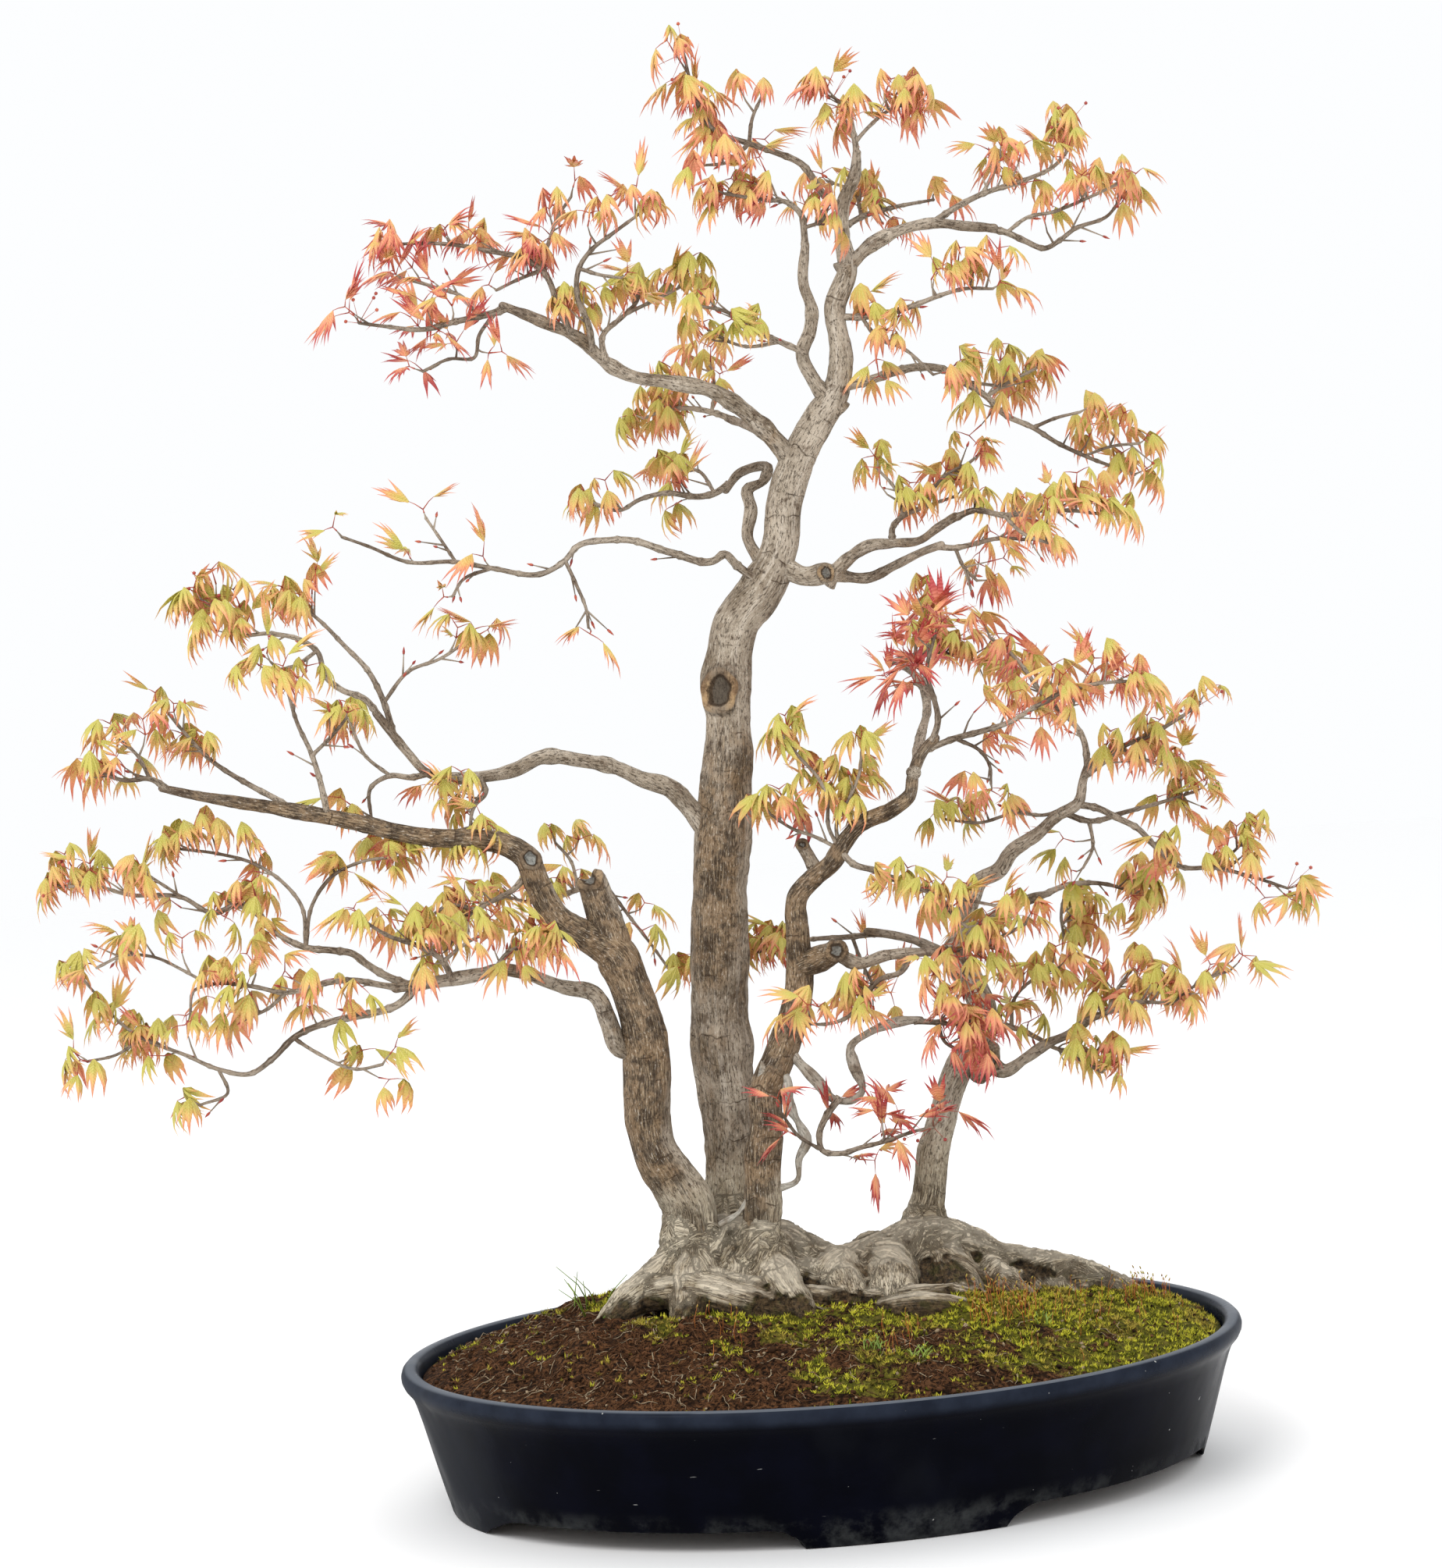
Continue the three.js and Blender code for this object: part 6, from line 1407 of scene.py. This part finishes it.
        (605, 237), (616, 244), (632, 254), (643, 265), (662, 274), (678, 284), (695, 292), (727, 304)],
     [(5, 64, [(630, 246), (646, 248)]), (8, 36, [(676, 268), (692, 264)]),
      (6, 50, [(648, 244), (664, 236)]), (10, 66, [(712, 286), (730, 284)])]),
    ("right_small", 9, 0.14, 0.5, 0.65, (-2, -48), 2.4, [(537, 203), (552, 203), (572, 200),
        (590, 194), (603, 189), (618, 185), (636, 185)],
     [(1, -30, [(562, 216), (580, 224), (598, 240)])]),
]
TWIG_TIP, OFFSHOOT_RADIUS, TWIG_SPACING = 0.9, 1.3, 2.2
UP = Vector((0, 0, 1))
# A leaf's lobes as (turn in degrees, length), and a lobe's half widths along it.
LOBE_TURNS = [(0, 1.0), (34, 0.95), (-34, 0.95), (68, 0.8), (-68, 0.8), (104, 0.48), (-104, 0.48)]
LOBE_SHAPE = [(0, 0.035), (0.22, 0.078), (0.44, 0.088), (0.7, 0.042), (1, 0)]
SMALL_LOBE_SHAPE = [(0, 0.03), (0.4, 0.11), (1, 0)]


def lobe(turn, length, shape, drop, fold, curl):
    # A pleated, drooping blade of unit size in the leaf's own plane, and its marks: along, across.
    outward = Vector((math.sin(turn), math.cos(turn), 0))
    side = Vector((math.cos(turn), -math.sin(turn), 0))
    centre, points, marks = Vector((0, 0, 0)), [], []
    before = 0
    for share, half in shape:
        angle = drop + curl * share
        centre = centre + (outward * math.cos(angle) - UP * math.sin(angle)) * (share - before) * length
        before = share
        if half == 0:
            points.append(centre)
            marks.append((share, 0.6))
            continue
        wide = half * length
        lift = (outward * math.sin(angle) + UP * math.cos(angle)) * wide * fold
        points += [centre - side * wide - lift, centre, centre + side * wide - lift]
        marks += [(share, 1), (share, 0), (share, 1)]
    last = (len(shape) - 2) * 3
    faces = [(2, 1, 0)]
    for ring in range(0, last, 3):
        for k in range(3):
            a, b = ring + k, ring + (k + 1) % 3
            faces.append((a, b, b + 3, a + 3))
    faces += [(last + k, last + (k + 1) % 3, last + 3) for k in range(3)]
    return points, faces, marks


def leaf_template(openness, seed):
    # A palmate leaf of unit lobe length, with its stalk end at the origin and its middle lobe along +Y. A
    # closed one is a slim bundle, and a half-open one hangs like an umbrella.
    chance = random.Random(seed)
    points, faces, marks = [], [], []
    for turn, length in LOBE_TURNS:
        spread_turn = math.radians(turn) * (0.1 + 0.85 * openness) + chance.gauss(0, 0.06)
        shape = LOBE_SHAPE if length > 0.5 else SMALL_LOBE_SHAPE
        shape = [(share, half * (0.66 + 0.38 * openness)) for share, half in shape]
        lobe_points, lobe_faces, lobe_marks = lobe(
            spread_turn, length * chance.uniform(0.88, 1.08), shape,
            0.04 + 0.3 * openness * abs(turn) / 68 + chance.gauss(0, 0.06),
            0.4 + 0.6 * (1 - openness), 0.15 + 1.35 * openness + chance.uniform(-0.15, 0.35))
        faces += [tuple(corner + len(points) for corner in face) for face in lobe_faces]
        points += lobe_points
        marks += lobe_marks
    return np.array([tuple(p) for p in points]), faces, np.array(marks)


TEMPLATES = {
    step: [leaf_template(0.1 + 0.2 * step, 100 * step + k) for k in range(7)] for step in range(5)
}


def leaf_place(gathering, root, heading, face_up, size, ripeness, openness, chance):
    # Sets one leaf at its stalk's end, with its middle lobe along the heading.
    step = int(min(4, max(0, round((openness - 0.1) / 0.2 + chance.gauss(0, 0.4)))))
    points, faces, marks = chance.choice(TEMPLATES[step])
    y_axis = heading.normalized()
    z_axis = (face_up - y_axis * face_up.dot(y_axis)).normalized()
    x_axis = y_axis.cross(z_axis)
    sized = points * size
    world = sum(sized[:, k:k + 1] * np.array(axis) for k, axis in enumerate((x_axis, y_axis, z_axis)))
    tone = min(1.0, max(0.0, ripeness + chance.gauss(0, 0.11)))
    gathering.take(world + np.array(root), faces, 0, leaf_along=marks[:, 0], leaf_edge=marks[:, 1], tone=tone)


def sideways(heading, turn):
    return Matrix.Rotation(turn, 3, heading) @ heading.orthogonal().normalized()


def twig_frame(line, index):
    heading = Vector(line[min(index + 1, len(line) - 1), :3] - line[max(index - 1, 0), :3]).normalized()
    return Vector(line[index, :3]), heading


def shoot(gathering, root, heading, pairs, reach, ripeness, openness, chance):
    # A thin woody twiglet that ends in a red young shoot, with leaves in opposite pairs on short thin stalks.
    wander = Vector((chance.gauss(0, 0.22), chance.gauss(0, 0.22), chance.gauss(0.05, 0.15)))
    elbow = root + (heading + wander).normalized() * reach * 0.6
    tip = elbow + (heading - wander * 0.6 + UP * chance.uniform(0, 0.4)).normalized() * reach * 0.4
    tube(gathering, [root, (root + elbow) / 2 + wander * reach * 0.12, elbow], 0.85 * MM, 5, 2, young=1)
    tube(gathering, [elbow, (elbow + tip) / 2, tip], 0.6 * MM, 5, 1, tone=ripeness)
    roll = chance.uniform(0, math.pi)
    for pair in range(pairs):
        node = tip if pair == 0 else elbow
        side = sideways(heading, roll + pair * math.pi / 2)
        for way in (1, -1):
            folded = openness < 0.42 or chance.random() < 0.14
            outwards = side * way * chance.uniform(0.6, 1.1) + heading * chance.uniform(0.1, 0.7)
            lift = chance.uniform(0, 0.7) if folded else chance.uniform(-0.1, 0.45)
            outwards = (outwards + UP * lift).normalized()
            stalk_length = chance.uniform(4, 12) * MM
            end = node + outwards * stalk_length - UP * stalk_length * chance.uniform(0, 0.12)
            tube(gathering, [node, node + outwards * stalk_length * 0.55, end], 0.4 * MM, 4, 1, tone=ripeness)
            flat = Vector((outwards.x, outwards.y, 0))
            if folded:
                leaf_heading = outwards + UP * chance.uniform(-0.7, 0.35)
                openness_here = chance.uniform(0.08, 0.3)
            else:
                leaf_heading = flat * 0.75 - UP * chance.uniform(-0.1, 0.8)
                openness_here = openness
            face_up = UP * 0.8 + flat * chance.uniform(0.2, 0.8) + Vector((
                chance.gauss(0, 0.25), chance.gauss(0, 0.25), 0))
            size = chance.uniform(20, 30) * MM
            leaf_place(gathering, end, leaf_heading, face_up, size, ripeness, openness_here, chance)


def bud(gathering, root, heading, long, ripeness):
    row = np.array([
        [*(root + heading * long * share), radius * MM]
        for share, radius in ((0, 0.7), (0.35, 0.95), (0.75, 0.5), (1, 0.08))
    ])
    points, faces, _ = sweep(row, 6)
    gathering.take(points, faces, 1, tone=ripeness)


leaf_skin = begin_material("young_maple_leaf", 0.5)
leaf_along = point_value("leaf_along")
leaf_edge = point_value("leaf_edge")
tone = point_value("tone")
where = object_place()
mottle = grain(where, 70, 2)
redness = times(leaf_edge, 0.15)
redness = plus(redness, spread(leaf_along, 0.15, 1.0, 0, 0.58))
redness = plus(redness, times(minus(mottle, 0.5), 0.35))
redness = plus(redness, times(minus(tone, 0.485), 1.05))
colour = layered(
    between(redness, 0.0, 0.34, (0.5, 0.45, 0.085), (0.68, 0.42, 0.13)),
    (redness, 0.3, 0.6, 1, (0.74, 0.28, 0.15)), (redness, 0.56, 0.96, 1, (0.47, 0.06, 0.06)),
)
midrib = spread(leaf_edge, 0.16, 0.04, 0, 0.35)
colour = blend_colour(midrib, colour, (0.78, 0.66, 0.24))
paint(colour)
paint(spread(mottle, 0.3, 0.7, 0.42, 0.6), "Roughness")
ribs = maths("SINE", times(minus(leaf_along, times(leaf_edge, 0.07)), 75))
raise_bumps(plus(times(ribs, 0.5), mottle), 0.0004, 0.5)
shoot_skin = plain_skin("red_young_shoot", 0.45, 220, 3, (0.3, 0.03, 0.026), (0.5, 0.1, 0.045))

FLOWERING = {
    "top_left", "top_leader", "right_top_outer", "right_top_inner", "left_top_tip", "centre_rise",
    "centre_right", "right_fork_outer", "far_right", "low_centre", "left_mid_tip", "low_left_tip",
}
for index, (name, shoots, bare, ripeness, openness, depths, radius, path, offshoots) in enumerate(SPRAYS):
    chance = random.Random(900 + index)
    station_radii = np.linspace(radius, TWIG_TIP, len(path))
    lengths = walked_along(np.array(path, float))
    twigs = [smooth_line(branch_line(path, depths, (radius, TWIG_TIP)), TWIG_SPACING * MM)]
    for station, tip_depth, points in offshoots:
        start_depth = depths[0] + (depths[1] - depths[0]) * lengths[station] / lengths[-1]
        radii = (min(OFFSHOOT_RADIUS, 0.85 * station_radii[station]), TWIG_TIP)
        stretch = branch_line([path[station], *points], (start_depth, tip_depth), radii)
        twigs.append(smooth_line(stretch, TWIG_SPACING * MM))
    spray = Gathering()
    for line in twigs:
        walked = np.arange(len(line)) * TWIG_SPACING
        line[:, 3] *= 1 + 0.28 * np.exp(-(((walked + chance.uniform(0, 14)) % 14 - 7) / 1.2) ** 2)
        rounded = round_end(line, 3)
        points, faces, grain_at = sweep(rounded, 8)
        thick = np.concatenate([np.repeat(rounded[:, 3], 8) / MM, [radius, TWIG_TIP]])
        spray.take(points, faces, 2, bark_grain=grain_at, young=np.clip((3.4 - thick) / 2.4, 0.35, 1))
    # Shoots go on each twig's tip first, and then back along it.
    spots = [(line, len(line) - 1) for line in twigs]
    while len(spots) < shoots + len(twigs):
        line = max(twigs, key=lambda row: len(row) / (1 + sum(1 for other, _ in spots if other is row)))
        spots.append((line, int((bare + (1 - bare) * chance.random()) * (len(line) - 1))))
    for line, at in spots:
        root, heading = twig_frame(line, at)
        direction = heading + UP * 0.7
        if at < len(line) - 1:
            side = sideways(heading, chance.uniform(0, 2 * math.pi))
            direction = side * 0.7 + heading * chance.uniform(0.2, 0.9)
            direction = direction + UP * chance.uniform(0.2, 1.3)
        pairs = 1 if chance.random() < 0.5 else 2
        reach = (chance.uniform(6, 14) if at == len(line) - 1 else chance.uniform(9, 30)) * MM
        if name == "long_left":
            pairs, reach = 1, chance.uniform(5, 10) * MM
        shoot(spray, root, direction.normalized(), pairs, reach, ripeness, openness, chance)
    for _ in range(14 if name == "long_left" else 5):
        line = twigs[int(chance.random() * len(twigs))]
        root, heading = twig_frame(line, int(chance.uniform(0.15, 0.9) * (len(line) - 1)))
        side = sideways(heading, chance.uniform(0, 2 * math.pi))
        direction = (side + heading * 1.1).normalized()
        end = root + direction * chance.uniform(3, 20) * MM
        tube(spray, [root, (root + end) / 2, end], 0.8 * MM, 5, 2, young=0.8)
        bud(spray, end - direction * 0.5 * MM, direction, chance.uniform(3.5, 6) * MM, ripeness)
    if name in FLOWERING:
        root, _ = twig_frame(*spots[0])
        for _ in range(5):
            hang = Vector((chance.gauss(0, 0.5), chance.gauss(0, 0.5), chance.uniform(-0.6, 1)))
            end = root + hang.normalized() * chance.uniform(13, 22) * MM
            tube(spray, [root, (root + end) / 2, end], 0.3 * MM, 3, 1, tone=1)
            spray.take([end + Vector(corner) * 1.3 * MM for corner in ball], ball_faces, 1, tone=1)
    piece = spray.piece("leafy_" + name, [leaf_skin, shoot_skin, bark])
    piece.data.polygons.foreach_set("use_smooth", np.array(spray.slots) != 0)
    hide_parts("spray_" + name)
    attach(piece, "root")

# The setting: a plain pale floor and soft studio light from the upper left and the front.
LAMP_AIM = Vector((0.05, 0, 0.45))
bpy.ops.mesh.primitive_plane_add(size=12, location=(0, 0, 0))
ground_plane = bpy.context.active_object
ground_plane.name = "studio_floor"
floor_paint = begin_material("studio_floor", 0.9)
shader.inputs["Base Color"].default_value = (0.985, 0.985, 0.985, 1)
ground_plane.data.materials.append(floor_paint)
ground_plane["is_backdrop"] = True
world = bpy.data.worlds.new("studio")
bpy.context.scene.world = world
world.use_nodes = True
backdrop = world.node_tree.nodes["Background"]
backdrop.inputs["Color"].default_value = (0.98, 0.99, 1.0, 1)
backdrop.inputs["Strength"].default_value = 1.0
bpy.context.scene.view_settings.view_transform = "Standard"
for name, spot, size, power in (
    ("key", (-1.3, -1.7, 2.2), 1.4, 38), ("fill", (1.9, -1.4, 1.2), 1.6, 5), ("rim", (0.6, 1.9, 1.9), 1.2, 8),
):
    lamp = bpy.data.objects.new(name, bpy.data.lights.new(name, "AREA"))
    lamp.data.size = size
    lamp.data.energy = power
    lamp.location = spot
    lamp.rotation_euler = (LAMP_AIM - Vector(spot)).to_track_quat("-Z", "Y").to_euler()
    bpy.context.scene.collection.objects.link(lamp)
    lamp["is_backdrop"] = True

# The size of the part before and after dressing.
boxes = {"solids": cad_box, "dressed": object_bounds()}
{name: [list(corner) for corner in box] for name, box in boxes.items()}
